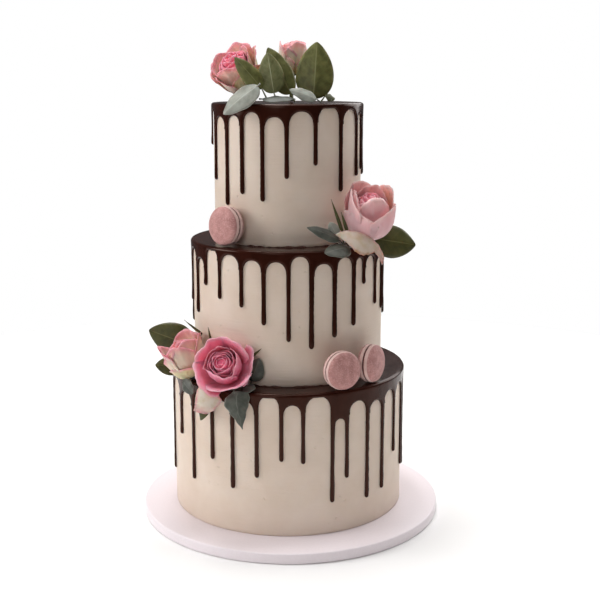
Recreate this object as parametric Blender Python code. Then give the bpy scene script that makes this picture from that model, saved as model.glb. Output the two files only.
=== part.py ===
"""Three-tier drip cake on a round board, dressed with macarons, roses and eucalyptus leaves.

Metres, +Z up. The origin is the middle of the board's underside. Everything that stands on the board is
placed from CAKE_AXIS, the foot of the cake's own axis. Lengths that end in _MM are in millimetres.
"""

import math
import random

import bmesh
import bpy
from mathutils import Matrix, Vector

MM = 0.001

BOARD_RADIUS = 0.1775
BOARD_THICKNESS = 0.012
BOARD_EDGE = 0.0012
BOARD_SEGMENTS = 56
CAKE_AXIS = Vector((-0.003, 0.004, BOARD_THICKNESS))
CLEARANCE = 0.0003

TIERS = {
    "bottom": {"radius": 0.1365, "height": 0.1621},
    "middle": {"radius": 0.1110, "height": 0.1490},
    "top": {"radius": 0.0848, "height": 0.1525},
}
TIER_EDGE = 0.0022
TIER_SEGMENTS = 48

GANACHE_TOP = 0.0022
GANACHE_SIDE = 0.0020
GANACHE_RIM = 0.0032
GANACHE_RIM_INSET = 0.0024
GANACHE_BACK = 0.00045
GANACHE_SHOULDER = 0.0018
GANACHE_EDGE_ROUND = 0.0013
SKIRT_LEAST = 0.0004
DRIP_WIDTH = 0.0054
DRIP_BULGE = 0.0026
# The rows above a drip's tip: how far above it, the share of the width and the bulge.
DRIP_ROWS = ((0.0060, 0.92, 0.0022), (0.00135, 0.80, 0.0026))
ARCH_DEPTH = 1.25
ARCH_POWER = 2.2
ARCH_STATIONS = (-0.72, 0.0, 0.72)
ARCH_ABOVE_TIPS = 0.014
ARCH_BELOW_RIM = 0.0018

# Each drip is its angle in degrees from the front, how far it runs below the ledge, and how far below the
# ledge the bare arch to its right begins, both in millimetres. The rest of each ring follows a rule.
FRONT_DRIPS = {
    "top": (
        (-86, 48, 7), (-70, 86, 15), (-51, 112, 13), (-35, 98, 9), (-18, 105, 14), (0, 80, 8),
        (21.5, 66, 3), (44, 96, 7), (65, 81, 11), (77, 75, 9),
    ),
    "middle": (
        (-80, 72, 8), (-66, 81, 17), (-55, 46, 3), (-42, 58, 7), (-26.5, 64, 11), (-13, 82, 12),
        (1, 100, 6), (14, 109, 15), (28, 98, 10), (41.5, 88, 13), (50, 43, 13), (63, 70, 17),
        (75.5, 80, 12),
    ),
    "bottom": (
        (-78, 124, 6), (-63, 70, 15), (-51, 116, 9), (-37.5, 84, 14), (-26, 113, 10), (-14, 97, 3),
        (-2.5, 77, 13), (7.5, 80, 4), (21.5, 128, 32), (29, 102, 15), (41, 132, 20), (52, 128, 14),
        (63.5, 92, 12), (76, 118, 8),
    ),
}
BACK_DRIPS = {
    "top": {"spacing": 16.0, "drop": (50, 110), "seed": 3},
    "middle": {"spacing": 13.5, "drop": (44, 108), "seed": 5},
    "bottom": {"spacing": 12.5, "drop": (70, 130), "seed": 8},
}
BACK_ARCH_MM = (3, 16)

MACARON_SEGMENTS = 16
MACARON_FILLING = 0.0030
MACARON_CORE_SHARE = 0.93
# A shell's outline from its foot to its crown: share of the radius, and height above the filling.
MACARON_OUTLINE = (
    (0.0, 0.0), (0.95, 0.0), (1.0, 0.0012), (0.975, 0.0029), (0.93, 0.0050), (0.80, 0.0076), (0.50, 0.0089),
    (0.0, 0.0092),
)
# Radius, foot of the disc on its ledge, and the way its face looks: degrees round the cake and upward.
MACARONS = {
    "left": {"radius": 0.0220, "tier": "middle", "angle": -42.2, "out": 0.1000, "face": -41.0, "lean": 4.0},
    "right": {"radius": 0.0213, "tier": "bottom", "angle": 27.0, "out": 0.1330, "face": 29.0, "lean": 2.0},
    "far_right": {
        "radius": 0.0213, "tier": "bottom", "angle": 46.8, "out": 0.1290, "face": 60.0, "lean": 2.0,
    },
}

# A rose is its hip and its way of opening, its closed middle's belly, mouth and height, its stem's length
# and its outer petals. A petal is its angle about the rose (0 towards the front, 90 to the right), half
# its spread in degrees, then belly radius, lip radius, height and outward curl. Lengths in millimetres.
ROSES = {
    "crown_left": {
        "hip": (-45, -27, 488), "opens": (-0.42, -0.46, 0.78), "middle": (17.5, 19, 46), "stem": 18,
        "petals": (
            (285, 55, 21, 22, 33, 4), (20, 50, 21, 22, 33, 4), (90, 48, 22, 25, 38, 5),
            (150, 48, 21, 24, 44, 4), (240, 45, 21, 22, 40, 4),
        ),
    },
    "crown_back": {
        "hip": (5, 8, 505), "opens": (0.02, -0.12, 0.99), "middle": (14.5, 9.5, 37), "stem": 32.2,
        "petals": ((320, 52, 15, 14, 21, 1), (70, 52, 15, 15, 20, 2), (190, 52, 15, 14, 24, 1)),
    },
    "right": {
        "hip": (90, -63, 328), "opens": (0.03, -0.38, 0.92), "middle": (20.5, 15, 52), "stem": 10.5,
        "petals": (
            (275, 62, 24.5, 19, 56, 3), (125, 52, 26, 23, 54, 1), (320, 60, 26.5, 22, 38, 1),
            (65, 66, 28, 25, 42, 2), (205, 46, 26, 23, 55, 2),
        ),
    },
    "left_pink": {
        "hip": (-66, -101, 181), "opens": (-0.15, -0.84, 0.52), "middle": (19, 22, 36), "stem": 6,
        "petals": (
            (0, 60, 24, 27, 30, 5), (75, 46, 26, 30, 25, 4), (135, 48, 23, 24, 32, 5),
            (200, 50, 24, 26, 31, 5), (285, 52, 25, 29, 27, 5),
        ),
    },
    "left_pale": {
        "hip": (-106, -73, 171), "opens": (-0.46, -0.12, 0.88), "middle": (17, 17, 45), "stem": 5,
        "petals": (
            (275, 62, 21, 17, 47, 3), (350, 56, 22, 18, 43, 2), (85, 50, 22, 24, 41, 5),
            (160, 46, 22, 26, 43, 4), (320, 64, 20.5, 20.5, 19, 2),
        ),
    },
}
BUD_SEGMENTS = 10
PETAL_CELLS = 3
PETAL_THICKNESS_MM = 1.2
WELD = 0.00002
HIP_RADIUS_MM = 6.5
STEM_RADIUS_MM = 2.4
PINK_ROSES = ("crown_left", "right", "left_pink")
TO_FRONT = Vector((0.0, -1.0, 0.0))

# A leaf, sepal or fallen petal runs from its base to its tip, both in millimetres from the cake's axis
# and the board's top, with its upper face towards "facing". An uneven one has "sides": for its left and
# its right side, seen from that face with the tip up, pairs of (share of the length, width in mm).
LEAVES = {
    "leaf_crown_1": {
        "base": (-27, -67, 488), "tip": (-56, -67, 521), "facing": (0.1, -0.95, 0.25), "width": 20,
        "stalk": (-20, -62, 473.5),
    },
    "leaf_crown_2": {
        "base": (-14, -62, 483), "tip": (-21, -57, 526), "facing": (0, -1, 0.15), "width": 28,
        "stalk": (-10, -60, 473.5),
    },
    "leaf_crown_3": {
        "base": (4, -47, 482), "tip": (-21, -41, 532), "facing": (0.2, -0.95, 0.2), "width": 28,
        "stalk": (9, -46, 473.5),
    },
    "leaf_crown_4": {
        "base": (29, -52, 477), "tip": (33, -42, 538), "facing": (0, -1, 0.2), "width": 42,
        "stalk": (28, -53, 473.5),
    },
    "leaf_crown_5": {
        "base": (-31, -77, 491), "tip": (-68, -82, 461), "facing": (-0.15, -0.7, 0.65), "width": 28,
    },
    "leaf_crown_6": {
        "base": (32, -69, 477), "tip": (3, -73, 487), "facing": (-0.1, -0.7, 0.7), "width": 17,
        "stalk": (37, -66, 473.5),
    },
    "leaf_crown_7": {
        "base": (-26, -70, 477), "tip": (10, -72, 477), "facing": (0, -0.35, 0.9), "width": 18,
    },
    "leaf_crown_8": {
        "base": (42, -54, 480), "tip": (53, -48, 477), "facing": (0, -0.7, 0.7), "width": 13,
        "stalk": (37, -57, 473.5),
    },
    "leaf_right_1": {
        "base": (99, -55, 322), "tip": (146, -43, 313), "facing": (0.1, -0.95, 0.3), "width": 38,
    },
    "leaf_right_2": {
        "base": (57, -96, 327), "tip": (22, -105, 342), "facing": (0.1, -0.7, 0.65), "width": 15,
        "stalk": (65, -87, 317.8),
    },
    "leaf_right_3": {
        "base": (68, -98, 319), "tip": (41, -114, 315), "facing": (-0.1, -0.6, 0.8), "width": 24,
        "stalk": (70, -84, 317.6),
    },
    "leaf_right_4": {
        "base": (55, -87, 330), "tip": (47, -87, 345), "facing": (0, -1, 0.2), "width": 13,
        "stalk": (58, -86, 318),
    },
    "leaf_left_1": {
        "base": (-112, -33, 193), "tip": (-162, -31, 211), "facing": (-0.1, -0.95, 0.2), "width": 38,
        "stalk": (-116, -44, 166.5),
    },
    "leaf_left_2": {
        "base": (-124, -50, 172), "tip": (-152, -58, 176), "facing": (-0.2, -0.9, 0.3), "width": 22,
        "stalk": (-118, -49, 166.5),
    },
    "leaf_left_3": {
        "base": (-39, -110.5, 172), "tip": (-30, -111, 198), "facing": (-0.25, -1, 0), "width": 21,
    },
    "leaf_left_4": {
        "base": (-57, -133, 167), "tip": (-48, -140, 126), "facing": (-0.1, -1, 0.1), "width": 27,
        "sides": (
            (
                (0.0, 3), (0.1, 14.5), (0.25, 15), (0.4, 12.6), (0.61, 7.7), (1.0, 0.4),
            ),
            (
                (0.0, 2), (0.16, 12.4), (0.3, 14.4), (0.52, 10.1), (0.75, 4.9), (1.0, 0.4),
            ),
        ),
    },
    "leaf_left_5": {
        "base": (-117, -92, 167), "tip": (-104, -108, 157), "facing": (-0.5, -0.8, 0.2), "width": 15,
        "stalk": (-108, -85, 166.3),
    },
    "leaf_left_6": {
        "base": (-87, -116, 150), "tip": (-96, -114, 128), "facing": (-0.6, -0.8, 0), "width": 13,
        "stalk": (-87.4, -107.6, 165.8),
    },
    "leaf_left_7": {
        "base": (-47, -123, 168), "tip": (-34, -133, 170), "facing": (0.1, -0.7, 0.7), "width": 13,
    },
}
LEAF_SHAPE = {"shoulder": 0.55, "point": 0.80, "bow": 0.05, "fold": 0.18, "cup": 0.05}
SEPALS = {
    "sepal_right_1": {"base": (61, -89, 334), "tip": (48, -91, 371), "facing": (0, -1, 0), "width": 4,
                      "stalk": (62.5, -82, 317.7)},
    "sepal_right_2": {"base": (66, -90, 335), "tip": (59, -93, 357), "facing": (0, -1, 0), "width": 4,
                      "stalk": (67.5, -82, 317.7)},
    "sepal_left_1": {"base": (-83, -98.5, 209.5), "tip": (-87, -97, 230), "facing": (0, -1, 0), "width": 3,
                     "stalk": (-81.3, -101.2, 207)},
    "sepal_left_2": {"base": (-38, -110, 200), "tip": (-28, -111, 209), "facing": (0, -1, 0), "width": 3,
                     "stalk": (-39.9, -109.3, 199.2)},
    "sepal_left_3": {"base": (-97, -60, 213), "tip": (-118, -56, 229), "facing": (0, -1, 0), "width": 3,
                     "stalk": (-99.3, -62.1, 211.2)},
}
SEPAL_SHAPE = {"shoulder": 0.35, "point": 1.0, "bow": 0.06, "fold": 0.3, "cup": 0.0}
PETALS = {
    "petal_right": {
        "base": (53, -97.4, 333.3), "tip": (104, -97, 299.5), "facing": (0.2, -0.85, 0.5), "width": 25,
        "sides": (
            (
                (0.0, 1), (0.06, 6), (0.15, 10.7), (0.3, 14.5), (0.43, 16.5), (0.58, 17), (0.73, 15),
                (0.85, 11), (0.95, 8), (1.0, 1),
            ),
            (
                (0.0, 0.5), (0.09, 1.1), (0.2, 3), (0.33, 5.5), (0.44, 7.4), (0.55, 7.2), (0.66, 4),
                (0.69, 0.5), (0.74, -4), (0.8, -3.6), (0.89, -2.2), (1.0, 0),
            ),
        ),
    },
    "petal_left": {
        "base": (-86, -117.5, 169), "tip": (-90.5, -127.5, 139.5), "facing": (-0.25, -0.93, 0.25),
        "width": 37,
        "sides": (
            (
                (0.0, 2), (0.1, 3), (0.2, 7), (0.31, 15), (0.45, 18.4), (0.55, 17), (0.8, 12.2),
                (0.96, 5.1), (1.0, 1),
            ),
            (
                (0.0, 8), (0.03, 10.2), (0.23, 12.1), (0.43, 11.9), (0.65, 11.5), (0.81, 11.2),
                (0.935, 12.6), (0.973, 7.2), (1.0, 1),
            ),
        ),
    },
}
PETAL_SHAPE = {"shoulder": 0.42, "point": 0.38, "bow": 0.16, "fold": 0.0, "cup": 0.32}
LEAF_THICKNESS_MM = 0.9
LEAF_ROWS = 4
STALK_HALF_MM = 0.8
TIP_HALF_MM = 0.6

FINISHES = {
    "board": ((0.80, 0.74, 0.75), 0.45),
    "buttercream": ((0.78, 0.68, 0.58), 0.55),
    "ganache": ((0.045, 0.016, 0.010), 0.18),
    "macaron": ((0.56, 0.28, 0.28), 0.75),
    "macaron_filling": ((0.06, 0.02, 0.02), 0.60),
    "rose_pink": ((0.72, 0.20, 0.28), 0.55),
    "rose_pale": ((0.76, 0.46, 0.42), 0.55),
    "petal_cream": ((0.74, 0.60, 0.46), 0.55),
    "leaf_green": ((0.13, 0.16, 0.06), 0.50),
    "leaf_grey": ((0.30, 0.33, 0.28), 0.50),
}
GREY_LEAVES = (
    "leaf_crown_5", "leaf_crown_6", "leaf_crown_7", "leaf_right_2", "leaf_right_3", "leaf_right_4",
    "leaf_left_3", "leaf_left_4", "leaf_left_5", "leaf_left_7",
)


def clear_scene():
    for old in list(bpy.data.objects):
        bpy.data.objects.remove(old)


def finish(name):
    """The Principled material of that name, made once."""
    material = bpy.data.materials.get(name)
    if material is None:
        colour, roughness = FINISHES[name]
        material = bpy.data.materials.new(name)
        material.use_nodes = True
        shader = material.node_tree.nodes["Principled BSDF"]
        shader.inputs["Base Color"].default_value = (*colour, 1.0)
        shader.inputs["Roughness"].default_value = roughness
        shader.inputs["Metallic"].default_value = 0.0
    return material


def add_object(name, bm, material, parent=None):
    """Turns the bmesh into a named object with outward faces."""
    bmesh.ops.triangulate(bm, faces=[face for face in bm.faces if len(face.verts) > 4])
    bmesh.ops.recalc_face_normals(bm, faces=bm.faces)
    mesh = bpy.data.meshes.new(name)
    bm.to_mesh(mesh)
    bm.free()
    mesh.shade_smooth()
    mesh.set_sharp_from_angle(angle=math.radians(40))
    mesh.materials.append(finish(material))
    item = bpy.data.objects.new(name, mesh)
    bpy.context.scene.collection.objects.link(item)
    item.parent = parent
    return item


def lathe(bm, profile, segments):
    """A closed turned body. The profile of (radius, height) runs from the axis to the axis."""
    rings = []
    for radius, height in profile:
        if radius == 0.0:
            rings.append([bm.verts.new((0.0, 0.0, height))])
            continue
        ring = []
        for k in range(segments):
            angle = math.tau * k / segments
            ring.append(bm.verts.new((radius * math.cos(angle), radius * math.sin(angle), height)))
        rings.append(ring)
    for lower, upper in zip(rings, rings[1:]):
        for k in range(segments):
            nxt = (k + 1) % segments
            if len(lower) == 1:
                bm.faces.new((lower[0], upper[nxt], upper[k]))
            elif len(upper) == 1:
                bm.faces.new((lower[k], lower[nxt], upper[0]))
            else:
                bm.faces.new((lower[k], lower[nxt], upper[nxt], upper[k]))


def build_board():
    bm = bmesh.new()
    edge = BOARD_EDGE
    lathe(bm, (
        (0.0, 0.0),
        (BOARD_RADIUS - edge, 0.0),
        (BOARD_RADIUS, edge),
        (BOARD_RADIUS, BOARD_THICKNESS - edge),
        (BOARD_RADIUS - edge, BOARD_THICKNESS),
        (0.0, BOARD_THICKNESS),
    ), BOARD_SEGMENTS)
    return add_object("board", bm, "board")


def build_tier(name, radius, base, top, parent):
    bm = bmesh.new()
    edge = TIER_EDGE
    lathe(bm, (
        (0.0, 0.0),
        (radius, 0.0),
        (radius, top - base - edge),
        (radius - edge, top - base),
        (0.0, top - base),
    ), TIER_SEGMENTS)
    tier = add_object(f"tier_{name}", bm, "buttercream", parent)
    tier.location = (0.0, 0.0, base)
    return tier


def drip_ring(name):
    """All the drips of one tier, as (angle, drop, arch): the front ones, then seeded ones round the back."""
    front = FRONT_DRIPS[name]
    rule = BACK_DRIPS[name]
    draw = random.Random(rule["seed"])
    start, end = front[-1][0], front[0][0] + 360.0
    count = max(1, round((end - start) / rule["spacing"]) - 1)
    ring = list(front)
    for k in range(count):
        angle = start + (end - start) * (k + 1) / (count + 1) + draw.uniform(-2.2, 2.2)
        ring.append((angle, draw.uniform(*rule["drop"]), draw.uniform(*BACK_ARCH_MM)))
    return ring


def arch_foot(radius, gap, crown, drops):
    """How far below the ledge the bare arch ends at its sides: never lower than the drips beside it."""
    deep = min(ARCH_DEPTH * radius * math.radians(gap / 2), min(drops) - ARCH_ABOVE_TIPS - crown)
    return crown + deep


def build_ganache(name, radius, top, parent):
    """The poured cap of one tier: a disc, a rounded rim and a skirt that arches between its drips."""
    bm = bmesh.new()
    height = top + CLEARANCE + GANACHE_TOP
    back = radius + GANACHE_BACK
    half_drip = math.degrees(DRIP_WIDTH / 2 / radius)
    ring = [(angle, drop * MM, arch * MM) for angle, drop, arch in drip_ring(name)]

    def point(angle, out, drop):
        turn = math.radians(angle - 90.0)
        reach = back + out
        return bm.verts.new((reach * math.cos(turn), reach * math.sin(turn), height - drop))

    def column(angle, edge, bulge=0.0):
        """From the disc over the rim to the edge, which is free where it doesn't bulge."""
        return [
            point(angle, -GANACHE_RIM_INSET, 0.0),
            point(angle, GANACHE_SHOULDER, GANACHE_RIM),
            point(angle, GANACHE_SIDE, max(edge - GANACHE_EDGE_ROUND, GANACHE_RIM + SKIRT_LEAST)),
            point(angle, bulge, edge),
        ]

    columns = []
    for k, (angle, drop, arch) in enumerate(ring):
        before = ring[k - 1]
        after = ring[(k + 1) % len(ring)]
        gap_before = (angle - before[0]) % 360.0 - 2 * half_drip
        gap_after = (after[0] - angle) % 360.0 - 2 * half_drip
        foot_before = arch_foot(radius, gap_before, before[2], (before[1], drop))
        foot_after = arch_foot(radius, gap_after, arch, (drop, after[1]))
        sides = (
            (angle - half_drip, foot_before, 0.0),
            (angle, (foot_before + foot_after) / 2, DRIP_BULGE),
            (angle + half_drip, foot_after, 0.0),
        )
        drip = [{"outer": column(*side)} for side in sides]
        for end in (0, 2):
            drip[end]["inner"] = point(sides[end][0], 0.0, GANACHE_TOP)
        columns += drip

        last = [side["outer"][-1] for side in drip]
        for above_tip, width, bulge in DRIP_ROWS:
            below = drop - above_tip
            new = [
                point(angle - half_drip * width, 0.0, below),
                point(angle, bulge, below),
                point(angle + half_drip * width, 0.0, below),
            ]
            bm.faces.new((last[0], last[1], new[1], new[0]))
            bm.faces.new((last[1], last[2], new[2], new[1]))
            bm.faces.new((last[2], last[0], new[0], new[2]))
            last = new
        end = point(angle, 0.0, drop)
        bm.faces.new((last[0], last[1], end))
        bm.faces.new((last[1], last[2], end))
        bm.faces.new((last[2], last[0], end))

        for station in ARCH_STATIONS:
            fall = 1 - (1 - abs(station) ** ARCH_POWER) ** (1 / ARCH_POWER)
            edge = max(arch + (foot_after - arch) * fall, GANACHE_RIM + ARCH_BELOW_RIM)
            place = angle + half_drip + gap_after * (station + 1) / 2
            columns.append({"outer": column(place, edge), "inner": point(place, 0.0, GANACHE_TOP)})

    crown = bm.verts.new((0.0, 0.0, height))
    under = bm.verts.new((0.0, 0.0, height - GANACHE_TOP))
    for k, this in enumerate(columns):
        nxt = columns[(k + 1) % len(columns)]
        bm.faces.new((crown, this["outer"][0], nxt["outer"][0]))
        for row in range(3):
            bm.faces.new((
                this["outer"][row], this["outer"][row + 1], nxt["outer"][row + 1], nxt["outer"][row],
            ))
    backed = [c for c in columns if "inner" in c]
    for k, this in enumerate(backed):
        nxt = backed[(k + 1) % len(backed)]
        bm.faces.new((this["outer"][-1], this["inner"], nxt["inner"], nxt["outer"][-1]))
        bm.faces.new((under, this["inner"], nxt["inner"]))
    return add_object(f"ganache_{name}", bm, "ganache", parent)


def build_macaron(name, spec, ledge, parent):
    """Two domed shells with a ruffled foot, either side of a thin filling, on edge and leaning back."""
    radius = spec["radius"]
    half = MACARON_FILLING / 2
    lean = math.radians(spec["lean"])
    turn = math.radians(spec["face"] - 90.0)
    face = Vector((math.cos(turn) * math.cos(lean), math.sin(turn) * math.cos(lean), math.sin(lean)))
    place = math.radians(spec["angle"] - 90.0)
    # The lowest point of the leaning disc is a shell's foot, and it rests on the ledge.
    front_foot = radius * math.cos(lean) - (half + 0.0012) * math.sin(lean) + 2 * CLEARANCE
    back_foot = radius * math.cos(lean) + (half + 0.0030) * math.sin(lean) + CLEARANCE
    drop = max(front_foot, back_foot)
    centre = Vector((
        spec["out"] * math.cos(place),
        spec["out"] * math.sin(place),
        ledge + drop,
    ))
    holder = bpy.data.objects.new(f"macaron_{name}_holder", None)
    bpy.context.scene.collection.objects.link(holder)
    holder.parent = parent
    holder.location = centre
    holder.rotation_mode = "QUATERNION"
    holder.rotation_quaternion = face.to_track_quat("Z", "Y")

    bm = bmesh.new()
    core = radius * MACARON_CORE_SHARE
    lathe(bm, ((0.0, -half), (core, -half), (core, half), (0.0, half)), MACARON_SEGMENTS)
    add_object(f"macaron_{name}_filling", bm, "macaron_filling", holder)
    for side, sign in (("front", 1), ("back", -1)):
        bm = bmesh.new()
        low = half + CLEARANCE
        profile = [(radius * share, (low + above) * sign) for share, above in MACARON_OUTLINE]
        lathe(bm, profile, MACARON_SEGMENTS)
        add_object(f"macaron_{name}_shell_{side}", bm, "macaron", holder)


def bezier(points, t):
    """A cubic curve through its first and last (radius, height) pair."""
    a, b, c, d = (1 - t) ** 3, 3 * t * (1 - t) ** 2, 3 * t * t * (1 - t), t ** 3
    p, q, r, s = points
    return tuple(a * p[k] + b * q[k] + c * r[k] + d * s[k] for k in range(2))


def petal_point(u, v, petal):
    """A point of a petal about its rose's axis: u across from -1 to 1, v from hip to lip."""
    angle, half, belly, lip, height, curl = petal
    along = v * (1 - 0.22 * abs(u) ** 2.4)
    profile = ((3.4, -1.0), (belly * 0.98, -0.04 * height), (belly * 1.16, height * 0.60), (lip, height))
    radius, rise = bezier(profile, along)
    roll = max(0.0, (along + 0.16 * u * u * along - 0.70) / 0.30) ** 2
    radius = (radius + curl * roll) * (1 + 0.045 * u)
    rise -= 0.6 * curl * roll * roll
    spread = half * (0.40 + 0.60 * math.sin(math.pi / 2 * min(1.0, along / 0.55)))
    turn = math.radians(angle + u * spread)
    return Vector((radius * math.cos(turn), radius * math.sin(turn), rise)) * MM


def thin_sheet(bm, rows, thickness):
    """Closes a grid of points into a thin solid, both faces split into triangles alike."""
    count, width = len(rows), len(rows[0])

    def normal(i, j):
        along = rows[min(i + 1, count - 1)][j] - rows[max(i - 1, 0)][j]
        across = rows[i][min(j + 1, width - 1)] - rows[i][max(j - 1, 0)]
        return along.cross(across).normalized()

    faces = []
    for sign in (0.5, -0.5):
        faces.append([
            [bm.verts.new(rows[i][j] + normal(i, j) * thickness * sign) for j in range(width)]
            for i in range(count)
        ])
    upper, lower = faces
    for i in range(count - 1):
        for j in range(width - 1):
            for side in (upper, lower):
                a, b, c, d = side[i][j], side[i][j + 1], side[i + 1][j + 1], side[i + 1][j]
                bm.faces.new((a, b, c))
                bm.faces.new((a, c, d))
    border = (
        [(0, j) for j in range(width)]
        + [(i, width - 1) for i in range(1, count)]
        + [(count - 1, j) for j in range(width - 2, -1, -1)]
        + [(i, 0) for i in range(count - 2, 0, -1)]
    )
    for k, (i, j) in enumerate(border):
        m, n = border[(k + 1) % len(border)]
        bm.faces.new((upper[i][j], upper[m][n], lower[m][n], lower[i][j]))


def build_middle(bm, belly, mouth, height, stem):
    """The rose's closed middle on its hip and stem, with the crown's petals as a shallow spiral."""
    outline = (
        (STEM_RADIUS_MM, -stem),
        (STEM_RADIUS_MM, -4.0),
        (HIP_RADIUS_MM, 0.0),
        (belly * 0.72, height * 0.14),
        (belly, height * 0.50),
        (mouth, height * 0.98),
        (mouth * 0.66, height * 0.94),
        (mouth * 0.34, height),
    )
    rings = []
    for row, (reach, rise) in enumerate(outline):
        ring = []
        for k in range(BUD_SEGMENTS):
            turn = math.tau * k / BUD_SEGMENTS
            spiral = 1 + 0.08 * math.sin(turn + row * 1.3) * (row > 4)
            lift = height * 0.03 * math.sin(3 * turn + row) * (row > 4)
            ring.append(bm.verts.new(Vector((
                reach * spiral * math.cos(turn), reach * spiral * math.sin(turn), rise + lift,
            )) * MM))
        rings.append(ring)
    foot = bm.verts.new((0.0, 0.0, -stem * MM))
    eye = bm.verts.new((0.0, 0.0, height * 0.93 * MM))
    for k in range(BUD_SEGMENTS):
        nxt = (k + 1) % BUD_SEGMENTS
        bm.faces.new((foot, rings[0][nxt], rings[0][k]))
        bm.faces.new((eye, rings[-1][k], rings[-1][nxt]))
        for low, high in zip(rings, rings[1:]):
            bm.faces.new((low[k], low[nxt], high[nxt], high[k]))


def keep_outer_shell(mesh):
    """Drops the closed hollows that the union leaves between a petal and the middle."""
    bm = bmesh.new()
    bm.from_mesh(mesh)
    bmesh.ops.remove_doubles(bm, verts=bm.verts, dist=WELD)
    bmesh.ops.dissolve_degenerate(bm, edges=bm.edges, dist=WELD)
    bmesh.ops.triangulate(bm, faces=bm.faces, ngon_method="EAR_CLIP")
    left = set(bm.verts)
    shells = []
    while left:
        shell, edge = set(), [left.pop()]
        while edge:
            vert = edge.pop()
            shell.add(vert)
            for link in vert.link_edges:
                other = link.other_vert(vert)
                if other in left:
                    left.remove(other)
                    edge.append(other)
        shells.append(shell)
    biggest = max(shells, key=len)
    bmesh.ops.delete(bm, geom=[v for v in bm.verts if v not in biggest], context="VERTS")
    bm.to_mesh(mesh)
    bm.free()


def build_rose(name, spec, parent):
    """A closed middle joined with its outer petals, turned to open the way it faces."""
    bm = bmesh.new()
    build_middle(bm, *spec["middle"], spec["stem"])
    bmesh.ops.triangulate(bm, faces=bm.faces)
    material = "rose_pink" if name in PINK_ROSES else "rose_pale"
    rose = add_object(f"rose_{name}", bm, material)

    petals = bpy.data.collections.new(f"petals_{name}")
    for petal in spec["petals"]:
        rows = []
        for i in range(PETAL_CELLS + 1):
            v = i / PETAL_CELLS
            rows.append([
                petal_point(-1 + 2 * j / PETAL_CELLS, v, petal) for j in range(PETAL_CELLS + 1)
            ])
        bm = bmesh.new()
        thin_sheet(bm, rows, PETAL_THICKNESS_MM * MM)
        bmesh.ops.triangulate(bm, faces=bm.faces)
        loose = add_object(f"{name}_petal", bm, material)
        bpy.context.scene.collection.objects.unlink(loose)
        petals.objects.link(loose)

    join = rose.modifiers.new("fuse", "BOOLEAN")
    join.operation = "UNION"
    join.operand_type = "COLLECTION"
    join.collection = petals
    join.solver = "MANIFOLD"
    fused = bpy.data.meshes.new_from_object(rose.evaluated_get(bpy.context.evaluated_depsgraph_get()))
    rose.modifiers.clear()
    rose.data = fused
    keep_outer_shell(fused)
    for loose in list(petals.objects):
        bpy.data.objects.remove(loose)
    bpy.data.collections.remove(petals)

    up = Vector(spec["opens"]).normalized()
    front = (TO_FRONT - up * TO_FRONT.dot(up)).normalized()
    turn = Matrix((front, up.cross(front), up)).transposed()
    rose.parent = parent
    rose.location = Vector(spec["hip"]) * MM
    rose.rotation_mode = "QUATERNION"
    rose.rotation_quaternion = turn.to_quaternion()
    return rose


def side_width(side, share):
    """The width of one side at that share of the length."""
    for (start, narrow), (end, wide) in zip(side, side[1:]):
        if share <= end:
            return narrow + (wide - narrow) * (share - start) / (end - start)
    return side[-1][1]


def build_blade(name, spec, shape, material, parent):
    """A thin leaf, sepal or petal with a midrib fold, a cupped face and a bow along its length."""
    base, tip = Vector(spec["base"]) * MM, Vector(spec["tip"]) * MM
    length = (tip - base).length
    along = (tip - base).normalized()
    facing = Vector(spec["facing"])
    up = (facing - along * facing.dot(along)).normalized()
    across = up.cross(along)
    crest = shape["shoulder"] / (shape["shoulder"] + shape["point"])
    widest = crest ** shape["shoulder"] * (1 - crest) ** shape["point"]
    rows = []
    for i in range(LEAF_ROWS + 1):
        s = 0.015 + 0.97 * i / LEAF_ROWS
        if "sides" in spec:
            left, right = (side_width(side, s) * MM for side in spec["sides"])
        else:
            swell = s ** shape["shoulder"] * (1 - s) ** shape["point"] / widest
            left = right = spec["width"] * MM / 2 * swell
        middle = (left - right) / 2
        half = max((left + right) / 2, TIP_HALF_MM * MM)
        row = []
        for w in (-1.0, 0.0, 1.0):
            lift = length * shape["bow"] * 4 * s * (1 - s) - half * (shape["fold"] + shape["cup"]) * abs(w)
            row.append(Vector((s * length, middle + w * half, lift)))
        rows.append(row)
    turn = Matrix((along, across, up)).transposed()
    if "stalk" in spec:
        foot = turn.inverted() @ (Vector(spec["stalk"]) * MM - base)
        side = Vector((-foot.y, foot.x, 0.0)).normalized() * STALK_HALF_MM * MM
        side *= -1 if side.y < 0 else 1
        rows.insert(0, [foot - side, foot, foot + side])
    bm = bmesh.new()
    thin_sheet(bm, rows, LEAF_THICKNESS_MM * MM)
    blade = add_object(name, bm, material, parent)
    blade.location = base
    blade.rotation_mode = "QUATERNION"
    blade.rotation_quaternion = turn.to_quaternion()
    return blade


def main():
    clear_scene()
    build_board()
    cake = bpy.data.objects.new("cake_axis", None)
    bpy.context.scene.collection.objects.link(cake)
    cake.location = CAKE_AXIS

    ledges = {}
    base = CLEARANCE
    for name, size in TIERS.items():
        top = base + size["height"]
        build_tier(name, size["radius"], base, top, cake)
        build_ganache(name, size["radius"], top, cake)
        ledges[name] = top + CLEARANCE + GANACHE_TOP
        base = ledges[name] + CLEARANCE

    for name, spec in MACARONS.items():
        build_macaron(name, spec, ledges[spec["tier"]], cake)
    for name, spec in ROSES.items():
        build_rose(name, spec, cake)
    for name, spec in LEAVES.items():
        material = "leaf_grey" if name in GREY_LEAVES else "leaf_green"
        build_blade(name, spec, LEAF_SHAPE, material, cake)
    for name, spec in SEPALS.items():
        build_blade(name, spec, SEPAL_SHAPE, "leaf_green", cake)
    for name, spec in PETALS.items():
        build_blade(name, spec, PETAL_SHAPE, "petal_cream", cake)


main()
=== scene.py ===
import math
import random

import bmesh
import bpy
from mathutils import Matrix, Vector, noise
from mathutils.kdtree import KDTree


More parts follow.
